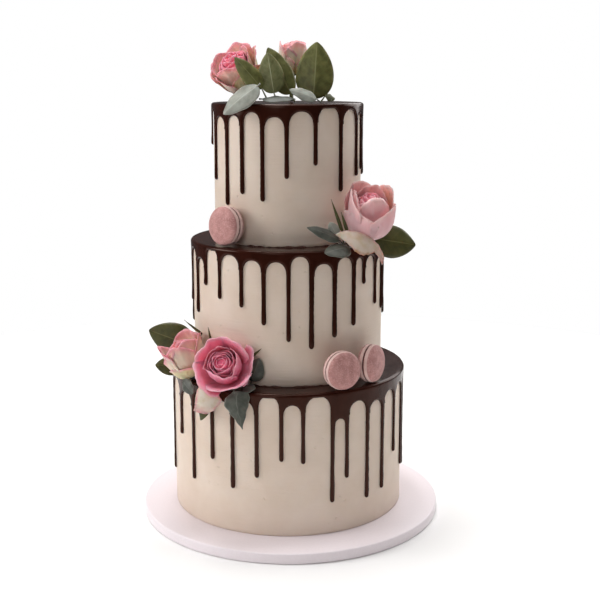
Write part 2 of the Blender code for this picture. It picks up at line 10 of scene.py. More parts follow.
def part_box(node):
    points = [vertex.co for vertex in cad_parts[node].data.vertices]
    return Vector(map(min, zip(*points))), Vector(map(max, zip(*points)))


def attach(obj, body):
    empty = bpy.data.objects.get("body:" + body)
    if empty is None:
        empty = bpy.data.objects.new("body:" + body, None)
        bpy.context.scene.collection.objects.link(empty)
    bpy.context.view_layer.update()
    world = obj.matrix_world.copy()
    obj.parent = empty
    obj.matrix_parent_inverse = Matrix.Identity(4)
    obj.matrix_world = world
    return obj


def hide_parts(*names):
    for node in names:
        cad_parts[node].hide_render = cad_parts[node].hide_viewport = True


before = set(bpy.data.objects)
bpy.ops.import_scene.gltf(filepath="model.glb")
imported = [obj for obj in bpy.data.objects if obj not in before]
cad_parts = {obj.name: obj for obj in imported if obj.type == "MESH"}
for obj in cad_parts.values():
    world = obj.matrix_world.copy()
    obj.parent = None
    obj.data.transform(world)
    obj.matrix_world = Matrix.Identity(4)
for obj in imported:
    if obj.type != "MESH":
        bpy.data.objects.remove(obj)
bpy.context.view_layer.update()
mm = 0.001

# The photo's camera: what the outlines of the board and the tiers gave.
cameraLook = {"place": (0.0114, -1.2421, 0.5129), "pitch": 78.1857, "lens": 64.14}

camera = bpy.data.objects.new("camera", bpy.data.cameras.new("camera"))
camera.data.lens = cameraLook["lens"]
camera.data.sensor_width = 36.0
camera.location = cameraLook["place"]
camera.rotation_euler = (math.radians(cameraLook["pitch"]), 0.0, 0.0)
bpy.context.scene.collection.objects.link(camera)
bpy.context.scene.camera = camera


# Everything is measured from the cake's own axis and the board's top, which come from the frame.
def boxSize(node):
    low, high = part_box(node)
    return {"centre": (low + high) / 2, "radius": (high.x - low.x) / 2, "low": low.z, "high": high.z}


boardBox = boxSize("board")
tierNames = ("bottom", "middle", "top")
tierBox = {name: boxSize(f"tier_{name}") for name in tierNames}
ledgeTop = {name: boxSize(f"ganache_{name}")["high"] for name in tierNames}
cakeAxis = Vector((tierBox["bottom"]["centre"].x, tierBox["bottom"]["centre"].y, boardBox["high"]))


def fromCake(point):
    return cakeAxis + Vector(point) * mm


def polar(reach, turn, height, centre=(0.0, 0.0)):
    return Vector((centre[0] + reach * math.cos(turn), centre[1] + reach * math.sin(turn), height))


def roundCake(angle, reach, height):
    # Angle in degrees from the front, positive to the viewer's right.
    return polar(reach, math.radians(angle - 90.0), height, cakeAxis)


def smooth(low, high, value):
    t = min(1.0, max(0.0, (value - low) / (high - low)))
    return t * t * (3 - 2 * t)


# Materials


def srgb(code):
    parts = [int(code[k:k + 2], 16) / 255 for k in (0, 2, 4)]
    return [c / 12.92 if c <= 0.04045 else ((c + 0.055) / 1.055) ** 2.4 for c in parts] + [1.0]


def addNode(tree, kind, sockets=None, **settings):
    node = tree.nodes.new("ShaderNode" + kind)
    for name, value in settings.items():
        setattr(node, name, value)
    for name, value in (sockets or {}).items():
        if isinstance(value, bpy.types.NodeSocket):
            tree.links.new(value, node.inputs[name])
        else:
            node.inputs[name].default_value = value
    return node


def newMaterial(name, roughness, ior, **sockets):
    material = bpy.data.materials.new(name)
    material.use_nodes = True
    shader = material.node_tree.nodes["Principled BSDF"]
    shader.inputs["Roughness"].default_value = roughness
    shader.inputs["IOR"].default_value = ior
    for key, value in sockets.items():
        shader.inputs[key.replace("_", " ")].default_value = value
    return material, material.node_tree, shader


def mixed(tree, share, first, second):
    # Each colour is a socket or an sRGB code.
    first, second = (srgb(colour) if isinstance(colour, str) else colour for colour in (first, second))
    return addNode(tree, "Mix", {0: share, 6: first, 7: second}, data_type="RGBA").outputs[2]


def ranged(tree, value, low, high, bottom=0.0, top=1.0):
    # Takes low to high over to bottom to top, and holds the value there beyond them.
    return addNode(tree, "MapRange", {
        "Value": value, "From Min": low, "From Max": high, "To Min": bottom, "To Max": top,
    }).outputs["Result"]


def worked(tree, operation, *values):
    return addNode(tree, "Math", dict(enumerate(values)), operation=operation).outputs[0]


def noiseOf(tree, place, sizeMm, detail):
    return addNode(tree, "TexNoise", {
        "Vector": place, "Scale": 1 / (sizeMm * mm), "Detail": detail,
    }).outputs["Fac"]


def objectPlace(tree):
    return addNode(tree, "TexCoord").outputs["Object"]


def toneOf(tree):
    # The three parts and the alpha of the tone that each point of a mesh carries.
    tone = addNode(tree, "Attribute", attribute_name="tone")
    parts = addNode(tree, "SeparateColor", {0: tone.outputs["Color"]}).outputs
    return parts[0], parts[1], parts[2], tone.outputs["Alpha"]


def fromMiddle(tree, across):
    return worked(tree, "ABSOLUTE", worked(tree, "SUBTRACT", across, 0.5))


def streaksOf(tree, spot, scale):
    # Fine streaks that run along a petal.
    fan = addNode(tree, "CombineXYZ", spot)
    stretch = addNode(tree, "Mapping", {"Vector": fan.outputs[0], "Scale": scale})
    return addNode(tree, "TexNoise", {
        "Vector": stretch.outputs[0], "Scale": 1.0, "Detail": 3.0,
    }).outputs["Fac"]


def finishWith(tree, shader, colour, height, strength, depthMm, **settings):
    tree.links.new(colour, shader.inputs["Base Color"])
    bump = addNode(tree, "Bump", {
        "Height": height, "Strength": strength, "Distance": depthMm * mm,
    }, **settings)
    tree.links.new(bump.outputs["Normal"], shader.inputs["Normal"])


def smoothedButtercream():
    # American buttercream drawn smooth with a scraper: matt ivory, soft at the edges because light goes a
    # little way in, with a few small air pits and faint level lines from the scraper.
    look = {"ivory": "ead8c8", "shade": "e2cebc", "cloudMm": 45.0, "lineMm": 2.6, "grainMm": 1.6,
            "pitMm": 13.0, "raggedMm": 3.0, "pitlessMm": 30.0}
    material, tree, shader = newMaterial(
        "smoothedButtercream", 0.52, 1.46, Subsurface_Weight=0.12, Subsurface_Scale=0.004,
        Subsurface_Radius=(1.0, 0.6, 0.35),
    )
    place = objectPlace(tree)
    cloud = ranged(tree, noiseOf(tree, place, look["cloudMm"], 4.0), 0.35, 0.65)
    colour = mixed(tree, cloud, look["shade"], look["ivory"])
    level = addNode(tree, "Mapping", {"Vector": place, "Scale": (0.06, 0.06, 1.0)})
    lines = noiseOf(tree, level.outputs["Vector"], look["lineMm"], 2.0)
    # The pits are the cores of scattered cells, with ragged outlines, in some patches only.
    ragged = addNode(tree, "TexNoise", {"Vector": place, "Scale": 1 / (look["raggedMm"] * mm), "Detail": 2.0})
    bent = addNode(tree, "VectorMath", {
        0: ragged.outputs["Color"], 1: (look["raggedMm"] * mm,) * 3, 2: place,
    }, operation="MULTIPLY_ADD")
    cells = addNode(tree, "TexVoronoi", {"Vector": bent.outputs[0], "Scale": 1 / (look["pitMm"] * mm)})
    core = worked(tree, "SUBTRACT", 1.0, ranged(tree, cells.outputs["Distance"], 0.03, 0.15))
    patch = ranged(tree, noiseOf(tree, place, look["pitlessMm"], 0.0), 0.53, 0.60)
    pits = worked(tree, "MULTIPLY", core, patch)
    fine = worked(tree, "MULTIPLY_ADD", noiseOf(tree, place, look["grainMm"], 3.0), 0.35, lines)
    finishWith(tree, shader, colour, worked(tree, "MULTIPLY_ADD", pits, -2.2, fine), 0.7, 0.45)
    return material


def pouredGanache():
    # Dark chocolate and cream poured warm and left to set: nearly black brown with a wet gloss whose
    # reflections wander, because the film is slightly uneven.
    look = {"brown": "220b06", "thin": "3a170e", "gloss": "f3cdbb", "waveMm": 14.0}
    material, tree, shader = newMaterial(
        "pouredGanache", 0.13, 1.47, Specular_IOR_Level=0.28, Specular_Tint=srgb(look["gloss"]),
    )
    wave = noiseOf(tree, objectPlace(tree), look["waveMm"], 3.0)
    tree.links.new(ranged(tree, wave, 0.0, 1.0, 0.12, 0.26), shader.inputs["Roughness"])
    finishWith(tree, shader, mixed(tree, wave, look["brown"], look["thin"]), wave, 0.25, 0.6)
    return material


def coveredBoard():
    # Drum board wrapped in satin foil paper: pale rose grey, a soft broad gloss and a faint crinkle.
    look = {"paper": "f8eef2", "shade": "f0e5e9", "crinkleMm": 3.0}
    material, tree, shader = newMaterial("satinBoardPaper", 0.36, 1.5)
    crinkle = noiseOf(tree, objectPlace(tree), look["crinkleMm"], 4.0)
    colour = mixed(tree, crinkle, look["shade"], look["paper"])
    finishWith(tree, shader, colour, crinkle, 0.12, 0.2)
    return material


def bakedMeringue():
    # Almond meringue dried before baking: matt dusty pink with a grain of ground almond, paler on the
    # ruffled foot where the crumb is open. The first part of the tone is 1 on the foot.
    look = {"pink": "c8918c", "dusk": "b07975", "foot": "e6c2ba", "fleck": "ddb0aa", "grainMm": 1.5,
            "lumpMm": 4.5, "blotchMm": 7.0}
    material, tree, shader = newMaterial("bakedAlmondMeringue", 0.72, 1.45, Sheen_Weight=0.15)
    place = objectPlace(tree)
    blotch = ranged(tree, noiseOf(tree, place, look["blotchMm"], 5.0), 0.35, 0.65)
    shell = mixed(tree, blotch, look["dusk"], look["pink"])
    grain = noiseOf(tree, place, look["grainMm"], 4.0)
    crumb = mixed(tree, ranged(tree, grain, 0.50, 0.62, 0.0, 0.45), shell, look["fleck"])
    colour = mixed(tree, toneOf(tree)[0], crumb, look["foot"])
    height = worked(tree, "MULTIPLY_ADD", grain, 0.6, noiseOf(tree, place, look["lumpMm"], 2.0))
    finishWith(tree, shader, colour, height, 0.9, 0.7)
    return material


def darkFilling():
    # Chocolate filling pressed out between the shells: dark and slightly greasy.
    look = {"dark": "59302b", "pale": "8a5650", "crumbMm": 1.5}
    material, tree, shader = newMaterial("chocolateFilling", 0.42, 1.47)
    crumb = noiseOf(tree, objectPlace(tree), look["crumbMm"], 3.0)
    finishWith(tree, shader, mixed(tree, crumb, look["dark"], look["pale"]), crumb, 0.5, 0.4)
    return material


def freshPetal(name, look):
    # A living rose petal: velvety, thin enough for light to pass, streaked along its length. The tone
    # holds how far up the petal a point is, how far across, and its age.
    material, tree, shader = newMaterial(
        name, 0.55, 1.42, Subsurface_Weight=0.35, Subsurface_Scale=0.004,
        Subsurface_Radius=(1.0, 0.45, 0.4), Sheen_Weight=0.2,
    )
    along, across, age = toneOf(tree)[:3]
    grown = ranged(tree, age, look["agedFrom"], look["agedTo"])
    body = mixed(tree, grown, look["heart"], look["outer"])
    body = mixed(tree, ranged(tree, age, 1.0, 1.4), body, look["base"])
    lip = mixed(tree, grown, look["heartLip"], look["outerLip"])
    cloud = noiseOf(tree, objectPlace(tree), 9, 4.0)
    ragged = worked(tree, "MULTIPLY_ADD", cloud, 0.22, along)
    colour = mixed(tree, ranged(tree, ragged, look["lipFrom"] + 0.11, 1.10), body, lip)
    claw = ranged(tree, ragged, 0.11 + look["baseTo"], 0.11 + 0.4 * look["baseTo"])
    colour = mixed(tree, claw, colour, look["base"])
    streak = streaksOf(tree, {"X": across, "Y": along, "Z": age}, (26.0, 1.2, 40.0))
    streakShare = ranged(tree, streak, 0.50, 0.75, 0.0, look["streak"])
    finishWith(tree, shader, mixed(tree, streakShare, colour, look["vein"]), streak, 0.25, 0.3)
    return material


def waxyLeaf(name, look):
    # A leathery leaf with a waxed skin: a pale midrib, faint side veins and, where it is glaucous, a
    # silvery bloom that dulls the gloss. The tone holds how far along and across a point is, and its
    # alpha is 1 on the upper face.
    material, tree, shader = newMaterial(
        name, look["roughness"], 1.45, Subsurface_Weight=0.05, Subsurface_Scale=0.002,
    )
    tone = toneOf(tree)
    along, across, upper = tone[0], tone[1], tone[3]
    aside = fromMiddle(tree, across)
    tint = ranged(tree, noiseOf(tree, objectPlace(tree), 8, 4.0), 0.35, 0.65)
    face = mixed(tree, tint, look["deep"], look["green"])
    face = mixed(tree, worked(tree, "SUBTRACT", 1.0, upper), face, look["under"])
    midrib = ranged(tree, aside, 0.022, 0.006, 0.0, look["ribShare"])
    slant = worked(tree, "MULTIPLY_ADD", aside, -0.55, along)
    wave = worked(tree, "SINE", worked(tree, "MULTIPLY", slant, look["veins"] * math.tau))
    marks = worked(tree, "MAXIMUM", midrib, ranged(tree, wave, 0.93, 1.0, 0.0, look["veinShare"]))
    edge = ranged(tree, aside, 0.455, 0.5, 0.0, look["edgeShare"])
    colour = mixed(tree, worked(tree, "MAXIMUM", marks, edge), face, look["rib"])
    finishWith(tree, shader, colour, marks, 0.3, 0.3, invert=True)
    return material


def fallenPetal(name, look):
    # A petal that has dropped and begun to dry: cream, blushed along its rim and browned where it tore,
    # which the third part of the tone says.
    material, tree, shader = newMaterial(name, 0.55, 1.42, Subsurface_Weight=0.25, Subsurface_Scale=0.003)
    along, across, torn = toneOf(tree)[:3]
    cloud = noiseOf(tree, objectPlace(tree), 8, 5.0)
    ragged = worked(tree, "MULTIPLY", cloud, 1.4)
    body = mixed(tree, ranged(tree, cloud, 0.42, 0.66), look["cream"], look["warm"])
    sideRim = ranged(tree, fromMiddle(tree, across), 0.34, 0.5)
    rim = worked(tree, "MAXIMUM", sideRim, ranged(tree, along, 0.70, 0.98))
    blushed = mixed(tree, worked(tree, "MULTIPLY", rim, ragged), body, look["blush"])
    browned = ranged(tree, worked(tree, "MULTIPLY", torn, ragged), look["tornFrom"], 0.85)
    streak = streaksOf(tree, {"X": across, "Y": along}, (24.0, 1.5, 1.0))
    finishWith(tree, shader, mixed(tree, browned, blushed, look["torn"]), streak, 0.35, 0.35)
    return material


# Meshes


def newMesh():
    return {"verts": [], "faces": [], "tones": []}


def addVert(mesh, point, tone=(0.0, 0.0, 0.0, 1.0)):
    mesh["verts"].append(tuple(point))
    mesh["tones"].append(tuple(tone))
    return len(mesh["verts"]) - 1


def addPiece(name, mesh, material, node):
    data = bpy.data.meshes.new(name)
    data.from_pydata(mesh["verts"], [], mesh["faces"])
    tone = data.attributes.new("tone", "FLOAT_COLOR", "POINT")
    tone.data.foreach_set("color", [part for row in mesh["tones"] for part in row])
    bm = bmesh.new()
    bm.from_mesh(data)
    bmesh.ops.recalc_face_normals(bm, faces=bm.faces)
    bm.to_mesh(data)
    bm.free()
    data.shade_smooth()
    data.materials.append(material)
    piece = bpy.data.objects.new(name, data)
    bpy.context.scene.collection.objects.link(piece)
    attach(piece, "root")
    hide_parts(node)
    return piece


def turned(mesh, rows, segments, pointAt):
    # A closed turned body. Each row is a pair (reach, height), and a reach of 0 is a point on the axis.
    rings = []
    for reach, height in rows:
        if reach == 0.0:
            rings.append([addVert(mesh, *pointAt(0.0, 0.0, height))])
        else:
            turns = [math.tau * k / segments for k in range(segments)]
            rings.append([addVert(mesh, *pointAt(turn, reach, height)) for turn in turns])
    for lower, upper in zip(rings, rings[1:]):
        for k in range(segments):
            nxt = (k + 1) % segments
            if len(lower) == 1:
                mesh["faces"].append((lower[0], upper[nxt], upper[k]))
            elif len(upper) == 1:
                mesh["faces"].append((lower[k], lower[nxt], upper[0]))
            else:
                mesh["faces"].append((lower[k], lower[nxt], upper[nxt], upper[k]))


def thinSheet(mesh, grid, tones, thickness, rim=0.35):
    # Closes a grid of points into a thin solid that thins out towards its border.
    count, width = len(grid), len(grid[0])
    sides = []
    for sign in (0.5, -0.5):
        side = []
        for i in range(count):
            row = []
            for j in range(width):
                along = grid[min(i + 1, count - 1)][j] - grid[max(i - 1, 0)][j]
                across = grid[i][min(j + 1, width - 1)] - grid[i][max(j - 1, 0)]
                atBorder = i in (0, count - 1) or j in (0, width - 1)
                lift = along.cross(across).normalized() * thickness * sign * (rim if atBorder else 1.0)
                tone = list(tones[i][j])
                tone[3] = 1.0 if sign > 0 else 0.0
                row.append(addVert(mesh, grid[i][j] + lift, tone))
            side.append(row)
        sides.append(side)
    upper, lower = sides
    for i in range(count - 1):
        for j in range(width - 1):
            mesh["faces"].append((upper[i][j], upper[i][j + 1], upper[i + 1][j + 1], upper[i + 1][j]))
            mesh["faces"].append((lower[i][j + 1], lower[i][j], lower[i + 1][j], lower[i + 1][j + 1]))
    border = [(0, j) for j in range(width)] + [(i, width - 1) for i in range(1, count)]
    border += [(count - 1, j) for j in range(width - 2, -1, -1)] + [(i, 0) for i in range(count - 2, 0, -1)]
    for k, (i, j) in enumerate(border):
        m, n = border[(k + 1) % len(border)]
        mesh["faces"].append((upper[i][j], upper[m][n], lower[m][n], lower[i][j]))


def addTube(mesh, path, radii, tone, sides=8):
    # A closed round stalk along the path, which thins as the radii say.
    rings = []
    for i, point in enumerate(path):
        ahead = (path[min(i + 1, len(path) - 1)] - path[max(i - 1, 0)]).normalized()
        side = ahead.orthogonal().normalized()
        other = ahead.cross(side)
        rings.append([
            addVert(mesh, point + (side * math.cos(a) + other * math.sin(a)) * radii[i], tone)
            for a in (math.tau * k / sides for k in range(sides))
        ])
    for lower, upper in zip(rings, rings[1:]):
        for k in range(sides):
            nxt = (k + 1) % sides
            mesh["faces"].append((lower[k], lower[nxt], upper[nxt], upper[k]))
    mesh["faces"].append(tuple(reversed(rings[0])))
    mesh["faces"].append(tuple(rings[-1]))


# Board, with the small kink in its foil at the front.
boardLook = {"segments": 240, "round": 1.6 * mm, "foilWave": 0.12 * mm, "kinkAngle": 21.0,
             "kinkDeep": 0.7 * mm, "kinkHalf": 1.2}


def buildBoard():
    mesh = newMesh()
    radius, top, low = boardBox["radius"], boardBox["high"], boardBox["low"]
    bend = boardLook["round"]
    rows = [(0.0, low), (radius * 0.5, low)]
    rows += [(radius - bend + bend * math.sin(a), low + bend - bend * math.cos(a))
             for a in (math.radians(15 * k) for k in range(7))]
    rows += [(radius, low + (top - low) * share) for share in (0.3, 0.45, 0.6, 0.75)]
    rows += [(radius - bend + bend * math.cos(a), top - bend + bend * math.sin(a))
             for a in (math.radians(15 * k) for k in range(7))]
    rows += [(radius * share, top) for share in (0.96, 0.9, 0.6, 0.3)]
    rows.append((0.0, top))

    def pointAt(turn, reach, height):
        outer = smooth(0.97 * radius, 0.995 * radius, reach)
        angle = math.degrees(turn) + 90.0
        aside = (angle - boardLook["kinkAngle"] + 180) % 360 - 180
        near = math.exp(-(aside / boardLook["kinkHalf"]) ** 2)
        wave = noise.noise(polar(1.0, turn, height * 30) * 9.0)
        inward = boardLook["foilWave"] * (0.5 - 0.5 * wave) + boardLook["kinkDeep"] * near
        return (polar(reach - inward * outer, turn, height, boardBox["centre"]),)

    turned(mesh, rows, boardLook["segments"], pointAt)
    addPiece("board_covered", mesh, coveredBoard(), "board")


# Tiers
tierLook = {"segments": 288, "rowStep": 3.0 * mm, "sway": 0.20 * mm, "ripple": 0.05 * mm, "top": 2.2 * mm}


def buildTiers():
    material = smoothedButtercream()
    for index, name in enumerate(tierNames):
        box = tierBox[name]
        low, high, radius = box["low"], box["high"], box["radius"]
        mesh = newMesh()
        steps = round((high - low - tierLook["top"]) / tierLook["rowStep"])
        rows = [(0.0, low), (radius * 0.9, low), (radius - 0.4 * mm, low)]
        rows += [(radius, low + 0.4 * mm + (high - low - tierLook["top"] - 0.4 * mm) * k / steps)
                 for k in range(steps + 1)]
        rows += [(radius - 0.8 * mm, high - 0.6 * mm), (radius - tierLook["top"], high), (0.0, high)]

        def pointAt(turn, reach, height):
            place = polar(reach, turn, height + index)
            free = smooth(0.9 * radius, radius, reach)
            sway = noise.noise(place / (38 * mm)) * tierLook["sway"]
            ripple = noise.noise(Vector((place.x, place.y, place.z * 3)) / (9 * mm)) * tierLook["ripple"]
            reach += (sway + ripple - 0.12 * mm) * free
            return (polar(reach, turn, height, cakeAxis),)

        turned(mesh, rows, tierLook["segments"], pointAt)
        addPiece(f"tier_{name}_buttercream", mesh, material, f"tier_{name}")


# Ganache: each drip is its angle, how far it runs below the ledge, and how far down the bare arch to its
# right begins, in millimetres. Round the back they follow the seeded rule below.
frontDrips = {
    "top": (
        (-86, 48, 7), (-70, 86, 15), (-51, 112, 13), (-35, 98, 9), (-18, 105, 14), (0, 80, 8),
        (21.5, 66, 3), (44, 96, 7), (65, 81, 11), (77, 75, 9),
    ),
    "middle": (
        (-80, 72, 8), (-66, 81, 17), (-55, 46, 3), (-42, 58, 7), (-26.5, 64, 11), (-13, 82, 12),
        (1, 100, 6), (14, 109, 15), (28, 98, 10), (41.5, 88, 13), (50, 43, 13), (63, 70, 17),
        (75.5, 80, 12),
    ),
    "bottom": (
        (-78, 124, 6), (-63, 70, 15), (-51, 116, 9), (-37.5, 84, 14), (-26, 113, 10), (-14, 97, 3),
        (-2.5, 77, 13), (7.5, 80, 4), (21.5, 128, 32), (29, 102, 15), (41, 132, 20), (52, 128, 14),
        (63.5, 92, 12), (76, 118, 8),
    ),
}
backDrips = {
    "top": {"spacing": 16.0, "drop": (50, 110), "seed": 3},
    "middle": {"spacing": 13.5, "drop": (44, 108), "seed": 5},
    "bottom": {"spacing": 12.5, "drop": (70, 130), "seed": 8},
}
# The pour: how it stands off the tier, its thickness, its drips, the steps that its surfaces are made in
# ("edgeSteps" for an arch, a drip's side and its tip) and "meniscus", how high it climbs the tier above.
ganacheLook = {
    "backGap": 0.45 * mm, "under": 2.2 * mm, "side": 2.0 * mm, "rim": 3.0 * mm, "dripHalf": 2.9 * mm,
    "bulb": 0.55 * mm, "edgeRound": 2.7 * mm, "archDepth": 1.25, "archPower": 2.2, "backArch": (3, 16),
    "dripTips": 14, "shortest": 5.0 * mm, "meniscus": 2.4 * mm,
    "across": (-1.0, -0.94, -0.77, -0.45, 0.0, 0.45, 0.77, 0.94, 1.0), "gapColumns": 16, "skirtRows": 13,
    "dripRow": 2.2 * mm, "capRows": 8, "rimSteps": 6, "edgeSteps": (100, 80, 11),
    "lipRows": (0.14, 0.16, 0.4, 0.8, 1.4, 2.4, 4.5),
}


def dripRing(name):
    front, rule = frontDrips[name], backDrips[name]
    draw = random.Random(rule["seed"])
    start, end = front[-1][0], front[0][0] + 360.0
    count = max(1, round((end - start) / rule["spacing"]) - 1)
    ring = list(front)
    for k in range(count):
        angle = start + (end - start) * (k + 1) / (count + 1) + draw.uniform(-2.2, 2.2)
        ring.append((angle, draw.uniform(*rule["drop"]), draw.uniform(*ganacheLook["backArch"])))
    return ring


def dripShapes(name, toArc):
    look = ganacheLook
    draw = random.Random(backDrips[name]["seed"] + 20)
    drips = []
    for angle, drop, arch in dripRing(name):
        half = look["dripHalf"] * draw.uniform(0.84, 1.04)
        drips.append({
            "angle": angle, "drop": drop, "arch": arch, "half": half, "turn": half / toArc,
            "cap": half * 1.2, "pinch": draw.uniform(0.05, 0.16),
        })
    for k, drip in enumerate(drips):
        after = drips[(k + 1) % len(drips)]
        drip["gap"] = (after["angle"] - drip["angle"]) % 360.0 - drip["turn"] - after["turn"]
        drip["crown"] = drip["arch"] * mm
        wanted = look["archDepth"] * toArc * drip["gap"] / 2
        deep = min(wanted, (min(drip["drop"], after["drop"]) - look["dripTips"] - drip["arch"]) * mm)
        drip["root"] = max(drip["crown"] + deep, look["shortest"])
    return drips


def archEdge(drip, s):
    # How deep the pour hangs between a drip, where s is -1, and the next one, where it is 1.
    power = ganacheLook["archPower"]
    fall = 1 - (1 - min(1.0, abs(s)) ** power) ** (1 / power)
    return max(drip["crown"] + (drip["root"] - drip["crown"]) * fall, ganacheLook["shortest"])


def dripWidth(drip, t):
    return drip["half"] * (1 - drip["pinch"] * math.sin(math.pi * min(1.0, t * 1.05)) ** 2)


def freeEdge(drips, toArc):
    # The free edge of the pour, sampled densely, for how far any point is from it.
    archSteps, sideSteps, tipSteps = ganacheLook["edgeSteps"]
    edge = []
    for k, drip in enumerate(drips):
        for j in range(archSteps + 1):
            s = -1 + 2 * j / archSteps
            angle = drip["angle"] + drip["turn"] + drip["gap"] * (s + 1) / 2
            edge.append((angle * toArc, archEdge(drip, s)))
        middle, tip, cap = drip["angle"] * toArc, drip["drop"] * mm, drip["cap"]
        for sign, root in ((-1, drips[k - 1]["root"]), (1, drip["root"])):
            for j in range(sideSteps + 1):
                t = j / sideSteps
                edge.append((middle + sign * dripWidth(drip, t), root + (tip - cap - root) * t))
            for j in range(tipSteps + 1):
                a = math.pi / 2 * j / tipSteps
                edge.append((middle + sign * drip["half"] * math.cos(a), tip - cap + cap * math.sin(a)))
    fullTurn = 360.0 * toArc
    edge += [(x + fullTurn * lap, y) for x, y in edge for lap in (-1, 1)]
    tree = KDTree(len(edge))
    for k, (x, y) in enumerate(edge):
        tree.insert((x, y, 0.0), k)
    tree.balance()
    return tree


def buildGanache(name, material):
    look = ganacheLook
    radius, top = tierBox[name]["radius"], ledgeTop[name]
    back = radius + look["backGap"]
    toArc = math.radians(1.0) * radius
    drips = dripShapes(name, toArc)
    edge = freeEdge(drips, toArc)
    mesh = newMesh()

    def thickness(arc, depth):
        # The pour rounds off to nothing at its free edge.
        near = min(edge.find((arc, depth, 0.0))[2], look["edgeRound"]) / look["edgeRound"]
        ripple = noise.noise(Vector((arc, depth, 3.0 * radius)) / (11 * mm))
        return look["side"] * math.sqrt(1 - (1 - near) ** 2) * (1 + 0.10 * ripple)

    def addPair(pair, angle, depth, thick):
        # A point of the skin and the one behind it. Without thickness, on the free edge, they are one.
        skin = addVert(mesh, roundCake(angle, back + thick, top - depth))
        pair["outer"].append(skin)
        pair["back"].append(addVert(mesh, roundCake(angle, back, top - depth)) if thick else skin)

    columns = []
    for k, drip in enumerate(drips):
        before = drips[k - 1]
        drip["first"] = len(columns)
        for u in look["across"]:
            root = before["root"] + (drip["root"] - before["root"]) * (u + 1) / 2
            columns.append({"angle": drip["angle"] + u * drip["turn"], "edge": root, "free": abs(u) == 1.0})
        for j in range(1, look["gapColumns"]):
            s = math.sin(math.pi / 2 * (-1 + 2 * j / look["gapColumns"]))
            angle = drip["angle"] + drip["turn"] + drip["gap"] * (s + 1) / 2
            columns.append({"angle": angle, "edge": archEdge(drip, s), "free": True})

    nextName = {"bottom": "middle", "middle": "top"}.get(name)
    inner = tierBox[nextName]["radius"] if nextName else 0.0
    if nextName:
        discRows = [0.5 * inner] + [inner + gap * mm for gap in look["lipRows"]]
    else:
        discRows = [0.2 * back, 0.45 * back, 0.7 * back]
    discRows = sorted(discRows + [back - 6.0 * mm, back - 3.0 * mm])

    def discHeight(angle, reach):
        # The disc sags a little, and climbs unevenly where it meets the tier above.
        place = polar(reach, math.radians(angle), radius)
        sink = (noise.noise(place / (16 * mm)) * 0.5 - 0.5) * 0.25 * mm * smooth(inner, inner + 4 * mm, reach)
        if nextName and reach > inner + 0.15 * mm:
            climb = 0.50 + 1.1 * noise.noise(place * (1 / (9 * mm)) * (inner / reach))
            sink += look["meniscus"] * max(0.15, climb) * max(0.0, 1 - (reach - inner) / (3.0 * mm)) ** 2.2
        return top + sink

    for column in columns:
        angle = column["angle"]
        column["outer"] = [
            addVert(mesh, roundCake(angle, reach, discHeight(angle, reach))) for reach in discRows
        ]
        wall = thickness(angle * toArc, look["rim"])
        sag = discHeight(angle, back - 1.0 * mm) - top
        for step in range(look["rimSteps"]):
            a = math.pi / 2 * step / look["rimSteps"]
            reach = back + wall - look["rim"] * (1 - math.sin(a))
            height = top - look["rim"] * (1 - math.cos(a)) + sag * math.cos(a)
            column["outer"].append(addVert(mesh, roundCake(angle, reach, height)))
        column["back"] = [addVert(mesh, roundCake(angle, back, top - look["under"]))]
        for row in range(look["skirtRows"] + 1):
            share = math.sin(math.pi / 2 * row / look["skirtRows"])
            depth = look["rim"] + (column["edge"] - look["rim"]) * share
            onEdge = row == look["skirtRows"] and column["free"]
            addPair(column, angle, depth, 0.0 if onEdge else thickness(angle * toArc, depth))

    crown = addVert(mesh, roundCake(0.0, 0.0, top))
    under = addVert(mesh, roundCake(0.0, 0.0, top - look["under"]))
    for this, after in zip(columns, columns[1:] + columns[:1]):
        mesh["faces"].append((crown, this["outer"][0], after["outer"][0]))
        mesh["faces"].append((under, after["back"][0], this["back"][0]))
        for side in ("outer", "back"):
            near, far = this[side], after[side]
            for row in range(len(near) - 1):
                mesh["faces"].append((near[row], near[row + 1], far[row + 1], far[row]))

    for k, drip in enumerate(drips):
        own = columns[drip["first"]:drip["first"] + len(look["across"])]
        last = {"outer": [c["outer"][-1] for c in own], "back": [c["back"][-1] for c in own]}
        tip, cap = drip["drop"] * mm, drip["cap"]
        length = tip - cap - max(drip["root"], drips[k - 1]["root"])
        straight = max(2, round(length / look["dripRow"]))
        rows = [(t / straight, 0.0) for t in range(1, straight + 1)]
        rows += [(1.0, math.pi / 2 * c / look["capRows"]) for c in range(1, look["capRows"])]
        for t, bend in rows:
            new = {"outer": [], "back": []}
            width = dripWidth(drip, t) if bend == 0.0 else drip["half"] * math.cos(bend)
            bulb = look["bulb"] * smooth(0.55, 1.0, t)
            for u, column in zip(look["across"], own):
                depth = column["edge"] * (1 - t) + (tip - cap) * t + cap * math.sin(bend)
                arc = drip["angle"] * toArc + u * width
                thick = 0.0 if abs(u) == 1.0 else thickness(arc, depth) * (1 + bulb / look["side"])
                addPair(new, arc / toArc, depth, thick)
            for side in ("outer", "back"):
                near, far = last[side], new[side]
                for j in range(len(own) - 1):
                    mesh["faces"].append((near[j], far[j], far[j + 1], near[j + 1]))
            last = new
        end = addVert(mesh, roundCake(drip["angle"], back, top - tip))
        for side in ("outer", "back"):
            for j in range(len(own) - 1):
                mesh["faces"].append((last[side][j], end, last[side][j + 1]))
    addPiece(f"ganache_{name}_pour", mesh, material, f"ganache_{name}")


